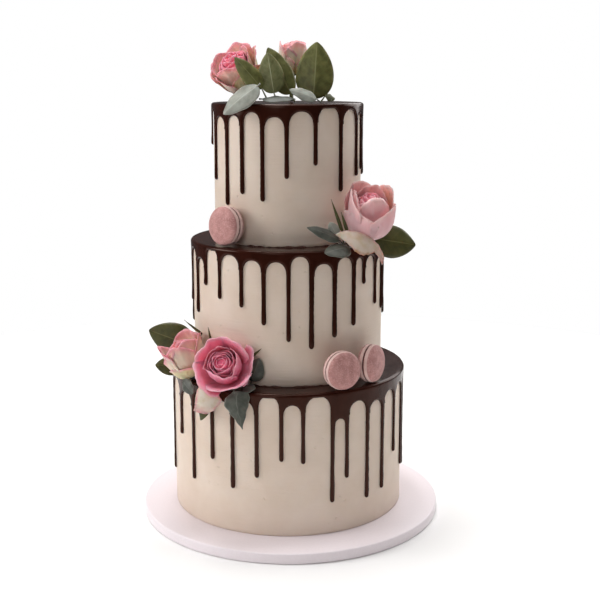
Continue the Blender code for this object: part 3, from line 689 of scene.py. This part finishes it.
# Macarons: radius and the way each face looks, in degrees round the cake and upward.
macarons = {
    "left": {"radius": 22.0, "face": -41.0, "lean": 4.0},
    "right": {"radius": 21.3, "face": 29.0, "lean": 2.0},
    "far_right": {"radius": 21.3, "face": 60.0, "lean": 2.0},
}
macaronLook = {"shell": 9.2, "filling": 3.0, "gap": 0.3, "segments": 120, "foot": 3.0, "ruffle": 0.55,
               "overlap": 0.8}


def buildMacaron(name, spec, shellMaterial, fillingMaterial, seed):
    look = macaronLook
    centre = boxSize(f"macaron_{name}_filling")["centre"]
    lean = math.radians(spec["lean"])
    turn = math.radians(spec["face"] - 90.0)
    stand = polar(math.cos(lean), turn, math.sin(lean)).to_track_quat("Z", "Y").to_matrix()
    radius, half = spec["radius"], look["filling"] / 2
    low = half + look["gap"]

    def placeAt(reach, angle, height):
        return centre + stand @ (polar(reach, angle, height) * mm)

    for side, sign in (("front", 1), ("back", -1)):
        rows = [(0.0, low), (radius * 0.80, low), (radius * 0.93, low)]
        # The ruffled foot bulges out over the filling's edge and draws in where the dome begins.
        rows += [(radius * (0.970 - 0.025 * math.cos(a)), low - look["overlap"] * math.sin(a))
                 for a in (math.radians(30 * k) for k in range(7))]
        rows += [(radius * (0.995 - 0.030 * (k / 8) ** 2), low + look["foot"] * k / 8) for k in range(1, 9)]
        # The dome is a flattened quarter round on the foot.
        domeLow = low + look["foot"]
        domeHigh = look["shell"] - look["foot"]
        for k in range(1, 15):
            a = math.pi / 2 * k / 15
            rows.append((radius * 0.975 * math.cos(a) ** 0.55, domeLow + domeHigh * math.sin(a) ** 1.25))
        rows += [(radius * 0.12, domeLow + domeHigh * 0.999), (0.0, domeLow + domeHigh)]
        mesh = newMesh()

        def pointAt(angle, reach, height):
            inFoot = smooth(radius * 0.9, radius * 0.95, reach)
            inFoot *= 1 - smooth(domeLow - 0.3, domeLow + 0.25, height)
            spot = polar(radius, angle, height * 1.3 + seed * 9 + sign * 40)
            bubbles = noise.noise(spot / 0.9) + 0.7 * noise.noise(spot / 0.45)
            frill = noise.noise(Vector((spot.x, spot.y, seed + sign)) / 2.6)
            outward = look["ruffle"] * inFoot * (bubbles * 0.8 + frill * 0.6)
            lump = 0.0
            if height > domeLow:
                lump = noise.noise(spot / 6.0) * 0.25 * smooth(0, radius * 0.3, reach)
            pitted = noise.noise(polar(reach, angle, seed) / 1.1)
            rise = 0.10 * pitted * smooth(domeLow, domeLow + 1.5, height)
            reach = max(0.0, reach + min(outward, 0.35) + lump * 0.5) if reach else 0.0
            return placeAt(reach, angle, (height + rise) * sign), (inFoot, 0.0, 0.0, 1.0)

        turned(mesh, rows, look["segments"], pointAt)
        node = f"macaron_{name}_shell_{side}"
        addPiece(f"macaron_{name}_{side}_baked", mesh, shellMaterial, node)

    mesh = newMesh()
    rows = [(0.0, -half), (radius * 0.8, -half)]
    rows += [(radius * (0.895 + 0.030 * math.cos(a)), half * math.sin(a))
             for a in (math.radians(-90 + 22.5 * k) for k in range(9))]
    rows += [(radius * 0.8, half), (0.0, half)]

    def fillingAt(angle, reach, height):
        squeeze = noise.noise(polar(1.0, angle, seed) * 6.0)
        reach = reach + 0.2 * squeeze * smooth(radius * 0.82, radius * 0.93, reach)
        return (placeAt(reach, angle, height),)

    turned(mesh, rows, look["segments"], fillingAt)
    addPiece(f"macaron_{name}_cream", mesh, fillingMaterial, f"macaron_{name}_filling")


# Roses. A petal is its angle about the rose (0 towards the front, 90 to the right), half its spread in
# degrees, belly radius, lip radius, height and outward curl, in millimetres. "bud" is the belly and the
# height of the spiral, "inner" how many petals it has and "mouth" how wide it opens. "faded" holds the
# angles of the outer petals that have dried to the base's colour.
roses = {
    "crown_left": {
        "hip": (-45, -27, 488), "opens": (-0.42, -0.46, 0.78), "stem": 18, "bud": (17.5, 46), "inner": 15,
        "mouth": 0.80,
        "cuddling": ((215, 60, 18.5, 19, 45, 3), (95, 60, 18.5, 19, 45, 3), (335, 60, 18.5, 19, 43, 3)),
        "outer": (
            (285, 55, 21, 22, 33, 4), (20, 50, 21, 22, 33, 4), (90, 48, 22, 25, 38, 5),
            (150, 48, 21, 24, 44, 4), (240, 45, 21, 22, 40, 4),
        ),
        "faded": (90, 20),
        "petal": {
            "heart": "dd6381", "heartLip": "ec93a8", "outer": "e6c1b0", "outerLip": "dc8997",
            "base": "e2d4a6", "vein": "cf8288", "agedFrom": 0.35, "agedTo": 0.78, "lipFrom": 0.84,
            "baseTo": 0.55, "streak": 0.20,
        },
    },
    "crown_back": {
        "hip": (5, 8, 505), "opens": (0.02, -0.12, 0.99), "stem": 32.2, "bud": (14, 37.5), "inner": 11,
        "mouth": 0.72,
        "cuddling": (
            (30, 66, 15.8, 12, 36.5, 2.5), (150, 66, 15.8, 12, 36, 2.5), (270, 66, 15.8, 12, 35.5, 2.5),
        ),
        "outer": ((320, 52, 15, 14, 21, 1), (70, 52, 15, 15, 20, 2), (190, 52, 15, 14, 24, 1)),
        "faded": (),
        "petal": {
            "heart": "f3bcb2", "heartLip": "eca0aa", "outer": "f7d6c4", "outerLip": "e9a2aa",
            "base": "f0e3a4", "vein": "e6b0a8", "agedFrom": 0.2, "agedTo": 0.75, "lipFrom": 0.80,
            "baseTo": 0.78, "streak": 0.14,
        },
    },
    "right": {
        "hip": (90, -63, 328), "opens": (0.03, -0.38, 0.92), "stem": 10.5, "bud": (21, 53), "inner": 17,
        "mouth": 0.48,
        "cuddling": ((170, 62, 23.5, 14, 55, 2), (20, 72, 24, 11.5, 53, 0.6), (275, 62, 24, 15, 55, 2)),
        "outer": (
            (275, 62, 24.5, 19, 56, 3), (125, 52, 26, 23, 54, 1), (320, 60, 26.5, 22, 38, 1),
            (65, 66, 28, 25, 42, 2), (205, 46, 26, 23, 55, 2),
        ),
        "faded": (125,),
        "petal": {
            "heart": "e5788f", "heartLip": "f2a0ae", "outer": "edb3b6", "outerLip": "f3c6c4",
            "base": "e6b7a9", "vein": "dc8f9b", "agedFrom": 0.2, "agedTo": 0.75, "lipFrom": 0.84,
            "baseTo": 0.28, "streak": 0.24,
        },
    },
    "left_pink": {
        "hip": (-66, -101, 181), "opens": (-0.15, -0.84, 0.52), "stem": 6, "bud": (16, 38), "inner": 13,
        "mouth": 0.66,
        "cuddling": ((200, 66, 20, 14.5, 36, 2), (80, 66, 20, 14.5, 35.5, 2), (330, 66, 20, 13.5, 34.5, 2)),
        "outer": (
            (0, 60, 24, 27, 30, 5), (75, 46, 26, 30, 25, 4), (135, 48, 23, 24, 32, 5),
            (200, 50, 24, 26, 31, 5), (285, 52, 25, 29, 27, 5),
        ),
        "faded": (),
        "petal": {
            "heart": "f0789a", "heartLip": "f6a2b6", "outer": "ec8aa3", "outerLip": "f3adba",
            "base": "eec6b8", "vein": "d96586", "agedFrom": 0.3, "agedTo": 1.0, "lipFrom": 0.86,
            "baseTo": 0.26, "streak": 0.28,
        },
    },
    "left_pale": {
        "hip": (-106, -73, 171), "opens": (-0.46, -0.12, 0.88), "stem": 5, "bud": (16, 44), "inner": 12,
        "mouth": 0.80,
        "cuddling": ((275, 62, 20, 17, 46, 3), (30, 62, 20, 18, 44, 2), (150, 62, 20, 19, 46, 2)),
        "outer": (
            (275, 62, 21, 17, 47, 3), (350, 56, 22, 18, 43, 2), (85, 50, 22, 24, 41, 5),
            (160, 46, 22, 26, 43, 4), (320, 64, 20.5, 20.5, 19, 2),
        ),
        "faded": (320,),
        "petal": {
            "heart": "e6ad9f", "heartLip": "e08b9a", "outer": "ebccb4", "outerLip": "de8b99",
            "base": "d6c194", "vein": "dcb098", "agedFrom": 0.3, "agedTo": 0.72, "lipFrom": 0.78,
            "baseTo": 0.50, "streak": 0.20,
        },
    },
}
petalLook = {"across": 28, "along": 18, "thick": 0.5 * mm, "waveOuter": 1.1, "waveInner": 0.5,
             "golden": 137.5, "tip": 2.6, "sideRoll": 2.2, "dome": 0.06, "crinkle": 0.26, "crease": 1.3}
hipLook = {"radius": 6.3, "stem": 2.3, "deep": 4.0, "segments": 20}
# The closed heart, as shares of its widest radius and of the spiral's height.
heartRows = (
    (0.0, 0.2), (0.5, 0.2), (0.9, 0.5), (1.0, 0.67), (0.9, 0.75), (0.6, 0.81), (0.3, 0.83), (0.0, 0.83),
)


def curveThrough(points, t):
    # A cubic curve through its first and last pair.
    a, b, c, d = (1 - t) ** 3, 3 * t * (1 - t) ** 2, 3 * t * t * (1 - t), t ** 3
    p, q, r, s = points
    return tuple(a * p[k] + b * q[k] + c * r[k] + d * s[k] for k in range(2))


def petalAt(u, v, petal):
    # Radius, turn and rise of a petal's point: u across from -1 to 1, v from hip to lip. The petal is
    # shorter at its sides, bellies out round its middle, spreads early and rolls outward near its lip.
    angle, half, belly, lip, height, curl = petal
    along = v * (1 - 0.22 * abs(u) ** 2.4)
    profile = ((3.4, -1.0), (belly * 0.98, -0.04 * height), (belly * 1.16, height * 0.60), (lip, height))
    radius, rise = curveThrough(profile, along)
    roll = max(0.0, (along + 0.16 * u * u * along - 0.70) / 0.30) ** 2
    radius = (radius + curl * roll) * (1 + 0.045 * u)
    rise -= 0.6 * curl * roll * roll
    spread = half * (0.40 + 0.60 * math.sin(math.pi / 2 * min(1.0, along / 0.55)))
    return radius, math.radians(angle + u * spread), rise


def spiralPetals(spec, draw):
    belly, height = spec["bud"]
    petals = []
    for k in range(spec["inner"]):
        t = k / (spec["inner"] - 1)
        angle = k * petalLook["golden"] + draw.uniform(-12, 12)
        lip = 1.3 + (belly * spec["mouth"] - 1.3) * t ** 0.85
        around = max(lip, 4 + (belly - 4) * t ** 0.7)
        rise = height * (1 - petalLook["dome"] * (1 - math.cos(math.pi * t))) - (1.5 if k < 3 else 0)
        petal = (angle, 125 - 50 * t, around, lip, rise * draw.uniform(0.985, 1.015), 1.3 + 2.4 * t)
        petals.append((petal, 0.6 * t))
    return petals


def buildRose(name, spec, hipMaterial):
    look = petalLook
    draw = random.Random(7)
    up = Vector(spec["opens"]).normalized()
    toFront = Vector((0.0, -1.0, 0.0))
    front = (toFront - up * toFront.dot(up)).normalized()
    stand = Matrix((front, up.cross(front), up)).transposed()
    hip = fromCake(spec["hip"])
    mesh = newMesh()

    def standing(tone):
        return lambda turn, reach, height: (hip + stand @ (polar(reach, turn, height) * mm), tone)

    petals = spiralPetals(spec, draw)
    petals += [(petal, 0.75) for petal in spec["cuddling"]]
    petals += [(petal, 1.4 if petal[0] in spec["faded"] else 1.0) for petal in spec["outer"]]
    for petal, age in petals:
        phase, other = draw.uniform(0, math.tau), draw.uniform(0, math.tau)
        wave = look["waveOuter"] if age > 0.7 else look["waveInner"]
        grid, tones = [], []
        for i in range(look["along"] + 1):
            v = i / look["along"]
            row, toneRow = [], []
            for j in range(look["across"] + 1):
                u = -1 + 2 * j / look["across"]
                radius, turn, rise = petalAt(u, v, petal)
                ruffle = wave * v ** 5 * (math.sin(4 * u + phase) + 0.5 * math.sin(9 * u + other))
                ruffle += look["crinkle"] * v ** 8 * math.sin(19 * u + other + 3 * math.sin(5 * u + phase))
                crease = noise.noise(Vector((3.2 * u, 0.9 * v, 5.0 * phase)))
                ruffle += age * look["crease"] * crease * smooth(0.15, 0.6, v)
                blown = min(1.0, max(0.0, 2 * age - 1))
                point = blown * look["tip"] * v ** 6 * math.exp(-(u / 0.25) ** 2)
                roll = blown * look["sideRoll"] * v ** 3 * abs(u) ** 3
                radius += ruffle + roll
                rise += 0.3 * ruffle + 0.6 * v ** 4 * math.sin(6 * u + other) + point - 0.6 * roll
                row.append(hip + stand @ (polar(radius, turn, rise) * mm))
                toneRow.append((v, (u + 1) / 2, age, 1.0))
            grid.append(row)
            tones.append(toneRow)
        thinSheet(mesh, grid, tones, look["thick"])

    # The heart is closed a few millimetres under the lips of the spiral, so light reaches down to it.
    belly, height = spec["bud"]
    widest = belly * spec["mouth"] * 0.9
    rows = [(widest * reach, height * rise) for reach, rise in heartRows]
    turned(mesh, rows, hipLook["segments"], standing((0.7, 0.5, 0.0, 1.0)))
    hipRows = [
        (0.0, -spec["stem"]), (hipLook["stem"], -spec["stem"]), (hipLook["stem"], -hipLook["deep"] - 1.0),
        (hipLook["stem"] * 1.3, -hipLook["deep"]), (hipLook["radius"] * 0.85, -2.2),
        (hipLook["radius"], 0.0), (hipLook["radius"] * 0.9, 2.5), (hipLook["radius"] * 0.5, 3.2), (0.0, 3.2),
    ]

    turned(mesh, hipRows, hipLook["segments"], standing((0.0, 0.3, 0.0, 1.0)))
    material = freshPetal(f"freshPetal_{name}", spec["petal"])
    piece = addPiece(f"rose_{name}_bloom", mesh, material, f"rose_{name}")
    # The hip and stem are the last faces, and they are green.
    piece.data.materials.append(hipMaterial)
    hipFaces = hipLook["segments"] * (len(hipRows) - 1)
    for polygon in list(piece.data.polygons)[-hipFaces:]:
        polygon.material_index = 1


# Leaves, sepals and fallen petals run from base to tip, in millimetres from the cake's axis and the
# board's top, with the upper face towards "facing". An uneven one has "sides": for its left and its right
# side, seen from that face with the tip up, pairs of (share of the length, width in mm).
leaves = {
    "leaf_crown_1": {
        "base": (-27, -67, 488), "tip": (-56, -67, 521), "facing": (0.1, -0.95, 0.25),
        "width": 20, "stalk": (-20, -62, 473.5),
    },
    "leaf_crown_2": {
        "base": (-14, -62, 483), "tip": (-21, -57, 526), "facing": (0, -1, 0.15),
        "width": 28, "stalk": (-10, -60, 473.5),
    },
    "leaf_crown_3": {
        "base": (4, -47, 482), "tip": (-21, -41, 532), "facing": (0.2, -0.95, 0.2),
        "width": 28, "stalk": (9, -46, 473.5),
    },
    "leaf_crown_4": {
        "base": (29, -52, 477), "tip": (33, -42, 538), "facing": (0, -1, 0.2),
        "width": 42, "stalk": (28, -53, 473.5),
    },
    "leaf_crown_5": {
        "base": (-31, -77, 491), "tip": (-68, -82, 461), "facing": (-0.15, -0.7, 0.65),
        "width": 28,
    },
    "leaf_crown_6": {
        "base": (32, -69, 477), "tip": (3, -73, 487), "facing": (-0.1, -0.7, 0.7),
        "width": 17, "stalk": (37, -66, 473.5),
    },
    "leaf_crown_7": {
        "base": (-26, -70, 477), "tip": (10, -72, 477), "facing": (0, -0.35, 0.9),
        "width": 18,
    },
    "leaf_crown_8": {
        "base": (42, -54, 480), "tip": (53, -48, 477), "facing": (0, -0.7, 0.7),
        "width": 13, "stalk": (37, -57, 473.5),
    },
    "leaf_right_1": {
        "base": (99, -55, 322), "tip": (146, -43, 313), "facing": (0.1, -0.95, 0.3),
        "width": 38,
    },
    "leaf_right_2": {
        "base": (57, -96, 327), "tip": (22, -105, 342), "facing": (0.1, -0.7, 0.65),
        "width": 15, "stalk": (65, -87, 317.8),
    },
    "leaf_right_3": {
        "base": (68, -98, 319), "tip": (41, -114, 315), "facing": (-0.1, -0.6, 0.8),
        "width": 24, "stalk": (70, -84, 317.6),
    },
    "leaf_right_4": {
        "base": (55, -87, 330), "tip": (47, -87, 345), "facing": (0, -1, 0.2),
        "width": 13, "stalk": (58, -86, 318),
    },
    "leaf_left_1": {
        "base": (-112, -33, 193), "tip": (-162, -31, 211), "facing": (-0.1, -0.95, 0.2),
        "width": 38, "stalk": (-116, -44, 166.5),
    },
    "leaf_left_2": {
        "base": (-124, -50, 172), "tip": (-152, -58, 176), "facing": (-0.2, -0.9, 0.3),
        "width": 22, "stalk": (-118, -49, 166.5),
    },
    "leaf_left_3": {
        "base": (-39, -110.5, 172), "tip": (-30, -111, 198), "facing": (-0.25, -1, 0),
        "width": 21,
    },
    "leaf_left_4": {
        "base": (-57, -133, 167), "tip": (-48, -140, 126), "facing": (-0.1, -1, 0.1),
        "sides": (
            (
                (0.0, 3), (0.1, 14.5), (0.25, 15), (0.4, 12.6), (0.61, 7.7), (1.0, 0.4),
            ),
            (
                (0.0, 2), (0.16, 12.4), (0.3, 14.4), (0.52, 10.1), (0.75, 4.9), (1.0, 0.4),
            ),
        ),
    },
    "leaf_left_5": {
        "base": (-117, -92, 167), "tip": (-104, -108, 157), "facing": (-0.5, -0.8, 0.2),
        "width": 15, "stalk": (-108, -85, 166.3),
    },
    "leaf_left_6": {
        "base": (-87, -116, 150), "tip": (-96, -114, 128), "facing": (-0.6, -0.8, 0),
        "width": 13, "stalk": (-87.4, -107.6, 165.8),
    },
    "leaf_left_7": {
        "base": (-47, -123, 168), "tip": (-34, -133, 170), "facing": (0.1, -0.7, 0.7),
        "width": 13,
    },
}
sepals = {
    "sepal_right_1": {
        "base": (61, -89, 334), "tip": (48, -91, 371), "facing": (0, -1, 0),
        "width": 4, "stalk": (62.5, -82, 317.7),
    },
    "sepal_right_2": {
        "base": (66, -90, 335), "tip": (59, -93, 357), "facing": (0, -1, 0),
        "width": 4, "stalk": (67.5, -82, 317.7),
    },
    "sepal_left_1": {
        "base": (-83, -98.5, 209.5), "tip": (-87, -97, 230), "facing": (0, -1, 0),
        "width": 3, "stalk": (-81.3, -101.2, 207),
    },
    "sepal_left_2": {
        "base": (-38, -110, 200), "tip": (-28, -111, 209), "facing": (0, -1, 0),
        "width": 3, "stalk": (-39.9, -109.3, 199.2),
    },
    "sepal_left_3": {
        "base": (-97, -60, 213), "tip": (-118, -56, 229), "facing": (0, -1, 0),
        "width": 3, "stalk": (-99.3, -62.1, 211.2),
    },
}
loosePetals = {
    "petal_right": {
        "base": (53, -97.4, 333.3), "tip": (104, -97, 299.5), "facing": (0.2, -0.85, 0.5),
        "sides": (
            (
                (0.0, 1), (0.06, 6), (0.15, 10.7), (0.3, 14.5), (0.43, 16.5), (0.58, 17), (0.73, 15),
                (0.85, 11), (0.95, 8), (1.0, 1),
            ),
            (
                (0.0, 0.5), (0.09, 1.1), (0.2, 3), (0.33, 5.5), (0.44, 7.4), (0.55, 7.2), (0.66, 4),
                (0.69, 0.5), (0.74, -4), (0.8, -3.6), (0.89, -2.2), (1.0, 0),
            ),
        ),
    },
    "petal_left": {
        "base": (-86, -117.5, 169), "tip": (-90.5, -127.5, 139.5), "facing": (-0.25, -0.93, 0.25),
        "sides": (
            (
                (0.0, 2), (0.1, 3), (0.2, 7), (0.31, 15), (0.45, 18.4), (0.55, 17), (0.8, 12.2),
                (0.96, 5.1), (1.0, 1),
            ),
            (
                (0.0, 8), (0.03, 10.2), (0.23, 12.1), (0.43, 11.9), (0.65, 11.5), (0.81, 11.2), (0.935, 12.6),
                (0.973, 7.2), (1.0, 1),
            ),
        ),
    },
}
leafShape = {
    "shoulder": 0.48, "point": 0.76, "bow": 0.05, "fold": 0.18, "cup": 0.05, "rows": 30, "half": 7,
    "thick": 0.5, "wave": 0.45, "waves": 2.5, "groove": 0.18, "curl": 0.0, "torn": 0.0, "stalk": 1.0,
}
sepalShape = {
    "shoulder": 0.35, "point": 1.0, "bow": 0.06, "fold": 0.3, "cup": 0.0, "rows": 16, "half": 2,
    "thick": 0.5, "wave": 0.1, "waves": 2.0, "groove": 0.0, "curl": 0.0, "torn": 0.0, "stalk": 0.6,
}
petalShape = {
    "shoulder": 0.42, "point": 0.38, "bow": 0.16, "fold": 0.0, "cup": 0.32, "rows": 44, "half": 12,
    "thick": 0.45, "wave": 0.7, "waves": 2.2, "groove": 0.0, "curl": 14.0, "torn": 1.0, "stalk": 0.0,
}
leafFinishes = {
    "green": {
        "slot": "leaf_green",
        "deep": "3b3d17", "green": "4e4d22", "under": "6b6c45", "rib": "77784e", "roughness": 0.45,
        "veins": 9.0, "ribShare": 0.6, "veinShare": 0.10, "edgeShare": 0.06,
    },
    # A lighter copy of the green leaf for the crown leaves: partly their own olive tone, partly painted
    # backlight.
    "olive_and_backlight": {
        "slot": "leaf_green",
        "deep": "565729", "green": "777843", "under": "83855e", "rib": "9b9c6c", "roughness": 0.45,
        "veins": 9.0, "ribShare": 0.7, "veinShare": 0.12, "edgeShare": 0.10,
    },
    # Lighter and greyer still, for one crown leaf: painted backlight and a painted grey sheen in its colours.
    "sage_backlight_and_sheen": {
        "slot": "leaf_green",
        "deep": "66683f", "green": "86885b", "under": "8f916b", "rib": "bfc19a", "roughness": 0.5,
        "veins": 9.0, "ribShare": 0.8, "veinShare": 0.12, "edgeShare": 0.15,
    },
    "grey": {
        "slot": "leaf_grey",
        "deep": "8b8d83", "green": "a5a79d", "under": "8f9188", "rib": "cbcbc0", "roughness": 0.6,
        "veins": 8.0, "ribShare": 0.6, "veinShare": 0.10, "edgeShare": 0.60,
    },
    "dusk": {
        "slot": "leaf_grey",
        "deep": "43463e", "green": "5b5e55", "under": "6f7268", "rib": "a9aca0", "roughness": 0.5,
        "veins": 8.0, "ribShare": 0.25, "veinShare": 0.06, "edgeShare": 0.50,
    },
}
leafKinds = {
    "leaf_crown_1": "olive_and_backlight", "leaf_crown_2": "sage_backlight_and_sheen", "leaf_crown_3": "olive_and_backlight", "leaf_crown_4": "olive_and_backlight",
    "leaf_crown_5": "grey", "leaf_crown_6": "grey", "leaf_crown_7": "dusk", "leaf_right_2": "dusk",
    "leaf_right_3": "dusk", "leaf_right_4": "grey", "leaf_left_3": "dusk", "leaf_left_4": "dusk",
    "leaf_left_5": "dusk", "leaf_left_7": "dusk",
}

loosePetalLooks = {
    "petal_right": {
        "cream": "dccabb", "warm": "cfb99a", "blush": "dfb3ae", "torn": "a2773c", "tornFrom": 0.25,
    },
    "petal_left": {
        "cream": "dfd2c2", "warm": "d3c2a4", "blush": "d98f9a", "torn": "d98a98", "tornFrom": 0.6,
    },
}


def sideWidth(side, share):
    for (start, narrow), (end, wide) in zip(side, side[1:]):
        if share <= end:
            return narrow + (wide - narrow) * smooth(start, end, share)
    return side[-1][1]


def bladeGrid(spec, shape, seed):
    base, tip = fromCake(spec["base"]), fromCake(spec["tip"])
    length = (tip - base).length
    along = (tip - base).normalized()
    facing = Vector(spec["facing"])
    up = (facing - along * facing.dot(along)).normalized()
    across = up.cross(along)
    crest = shape["shoulder"] / (shape["shoulder"] + shape["point"])
    widest = crest ** shape["shoulder"] * (1 - crest) ** shape["point"]
    draw = random.Random(seed)
    phase, other = draw.uniform(0, math.tau), draw.uniform(0, math.tau)
    grid, tones = [], []
    for i in range(shape["rows"] + 1):
        s = 0.004 + 0.992 * (0.5 - 0.5 * math.cos(math.pi * i / shape["rows"]))
        torn = 0.0
        if "sides" in spec:
            left, right = (sideWidth(side, s) * mm for side in spec["sides"])
            torn = shape["torn"] * smooth(0.30, 0.48, s) * (1 - smooth(0.74, 0.84, s))
            right += torn * noise.noise(Vector((s * 26, seed, 0.0))) * 3.0 * mm
        else:
            outline = s ** shape["shoulder"] * (1 - s) ** shape["point"] / widest
            left = right = spec["width"] * mm / 2 * outline
        middle, half = (left - right) / 2, max((left + right) / 2, 0.25 * mm)
        row, toneRow = [], []
        for j in range(-shape["half"], shape["half"] + 1):
            share = abs(j) / shape["half"]
            w = math.copysign(share ** 1.25, j) if j else 0.0
            lift = length * shape["bow"] * 4 * s * (1 - s)
            lift -= half * (shape["fold"] * abs(w) + shape["cup"] * w * w)
            side = phase if w > 0 else other
            lift += shape["wave"] * mm * w * w * math.sin(math.tau * shape["waves"] * s + side)
            lift -= shape["groove"] * mm * math.exp(-(w * half / (0.7 * mm)) ** 2)
            lift += shape["curl"] * mm * max(0.0, abs(w) - 0.6) ** 2 * s
            row.append(base + along * s * length + across * (middle + w * half) + up * lift)
            toneRow.append((s, 0.5 + 0.5 * w, torn * smooth(0.45, 0.95, -w), 1.0))
        grid.append(row)
        tones.append(toneRow)
    return grid, tones


def addStalk(mesh, spec, tone, thick):
    base, tip = fromCake(spec["base"]), fromCake(spec["tip"])
    ahead = (tip - base).normalized()
    foot = fromCake(spec["stalk"]) if "stalk" in spec else base - ahead * 4.0 * mm
    inside = base + ahead * 3.0 * mm
    shares = [k / 6 for k in range(7)]
    path = [foot.lerp(base, t / 0.75) if t < 0.75 else base.lerp(inside, (t - 0.75) / 0.25) for t in shares]
    addTube(mesh, path, [thick * mm * (1.0 - 0.45 * t) for t in shares], tone)


def bladeMesh(spec, shape, seed):
    mesh = newMesh()
    grid, tones = bladeGrid(spec, shape, seed)
    thinSheet(mesh, grid, tones, shape["thick"] * mm)
    if shape["stalk"]:
        addStalk(mesh, spec, (0.0, 0.3, 0.0, 1.0), shape["stalk"])
    return mesh


def buildLeaves():
    finishes = {kind: waxyLeaf(f"waxyLeaf_{kind}", look) for kind, look in leafFinishes.items()}
    for seed, (name, spec) in enumerate(leaves.items()):
        kind = leafKinds.get(name, "green")
        mesh = bladeMesh(spec, leafShape, 30 + seed)
        addPiece(f"{name}_blade", mesh, finishes[kind], name)
    for seed, (name, spec) in enumerate(sepals.items()):
        mesh = bladeMesh(spec, sepalShape, 60 + seed)
        addPiece(f"{name}_blade", mesh, finishes["green"], name)
    return finishes["green"]


def buildLoosePetals():
    for seed, (name, spec) in enumerate(loosePetals.items()):
        material = fallenPetal(f"fallenPetal_{name}", loosePetalLooks[name])
        addPiece(f"{name}_fallen", bladeMesh(spec, petalShape, 80 + seed), material, name)


# Studio: a plain pale floor, a broad soft light overhead with a small one for the glints, a window-like
# key from the left, and weaker lights from behind on the right, from the back and from the front. The
# surround lights little and shows as plain white.
studioLook = {"floor": "f7f6f5", "floorRadius": 1.05, "floorSegments": 128, "surround": "ffffff",
              "surroundPower": 0.10, "aim": (0.0, 0.0, 0.26)}
lamps = {
    "overhead": {"place": (0.1, 0.1, 2.3), "size": 2.2, "power": 29.0},
    "glint": {"place": (-0.25, 0.30, 2.0), "size": 0.5, "power": 13.0},
    "key": {"place": (-1.65, -0.25, 0.95), "size": 1.1, "power": 17.0},
    "rim": {"place": (1.35, 0.95, 0.95), "size": 1.3, "power": 12.5},
    "back": {"place": (0.50, 1.70, 1.45), "size": 1.2, "power": 8.0},
    "fill": {"place": (-0.55, -1.9, 1.0), "size": 0.9, "power": 5.0},
}


def buildStudio():
    scene = bpy.context.scene
    scene.view_settings.view_transform = "Standard"
    material = newMaterial("mattPaperFloor", 0.9, 1.45, Base_Color=srgb(studioLook["floor"]))[0]
    mesh = bpy.data.meshes.new("studio_floor")
    segments = studioLook["floorSegments"]
    rim = [polar(studioLook["floorRadius"], math.tau * k / segments, -0.2 * mm) for k in range(segments)]
    mesh.from_pydata(rim, [], [tuple(range(segments))])
    mesh.materials.append(material)
    floor = bpy.data.objects.new("studio_floor", mesh)
    scene.collection.objects.link(floor)

    world = bpy.data.worlds.new("studio")
    scene.world = world
    world.use_nodes = True
    tree = world.node_tree
    sky = tree.nodes["Background"]
    sky.inputs["Color"].default_value = srgb(studioLook["surround"])
    seen = addNode(tree, "LightPath").outputs["Is Camera Ray"]
    power = ranged(tree, seen, 0.0, 1.0, studioLook["surroundPower"], 1.0)
    tree.links.new(power, sky.inputs["Strength"])

    for name, lamp in lamps.items():
        light = bpy.data.lights.new(name, "AREA")
        light.shape = "DISK"
        light.size = lamp["size"]
        light.energy = lamp["power"]
        stand = bpy.data.objects.new(name, light)
        scene.collection.objects.link(stand)
        stand.location = lamp["place"]
        stand.rotation_mode = "QUATERNION"
        stand.rotation_quaternion = (Vector(studioLook["aim"]) - stand.location).to_track_quat("-Z", "Y")


buildStudio()
buildBoard()
print("board done")
buildTiers()
print("tiers done")
ganacheMaterial = pouredGanache()
for tierName in tierNames:
    buildGanache(tierName, ganacheMaterial)
print("ganache done")
shellMaterial = bakedMeringue()
fillingMaterial = darkFilling()
for order, (macaronName, macaronSpec) in enumerate(macarons.items()):
    buildMacaron(macaronName, macaronSpec, shellMaterial, fillingMaterial, order + 1)
print("macarons done")
leafGreen = buildLeaves()
print("leaves done")
for roseName, roseSpec in roses.items():
    buildRose(roseName, roseSpec, leafGreen)
buildLoosePetals()
print("roses and petals done")
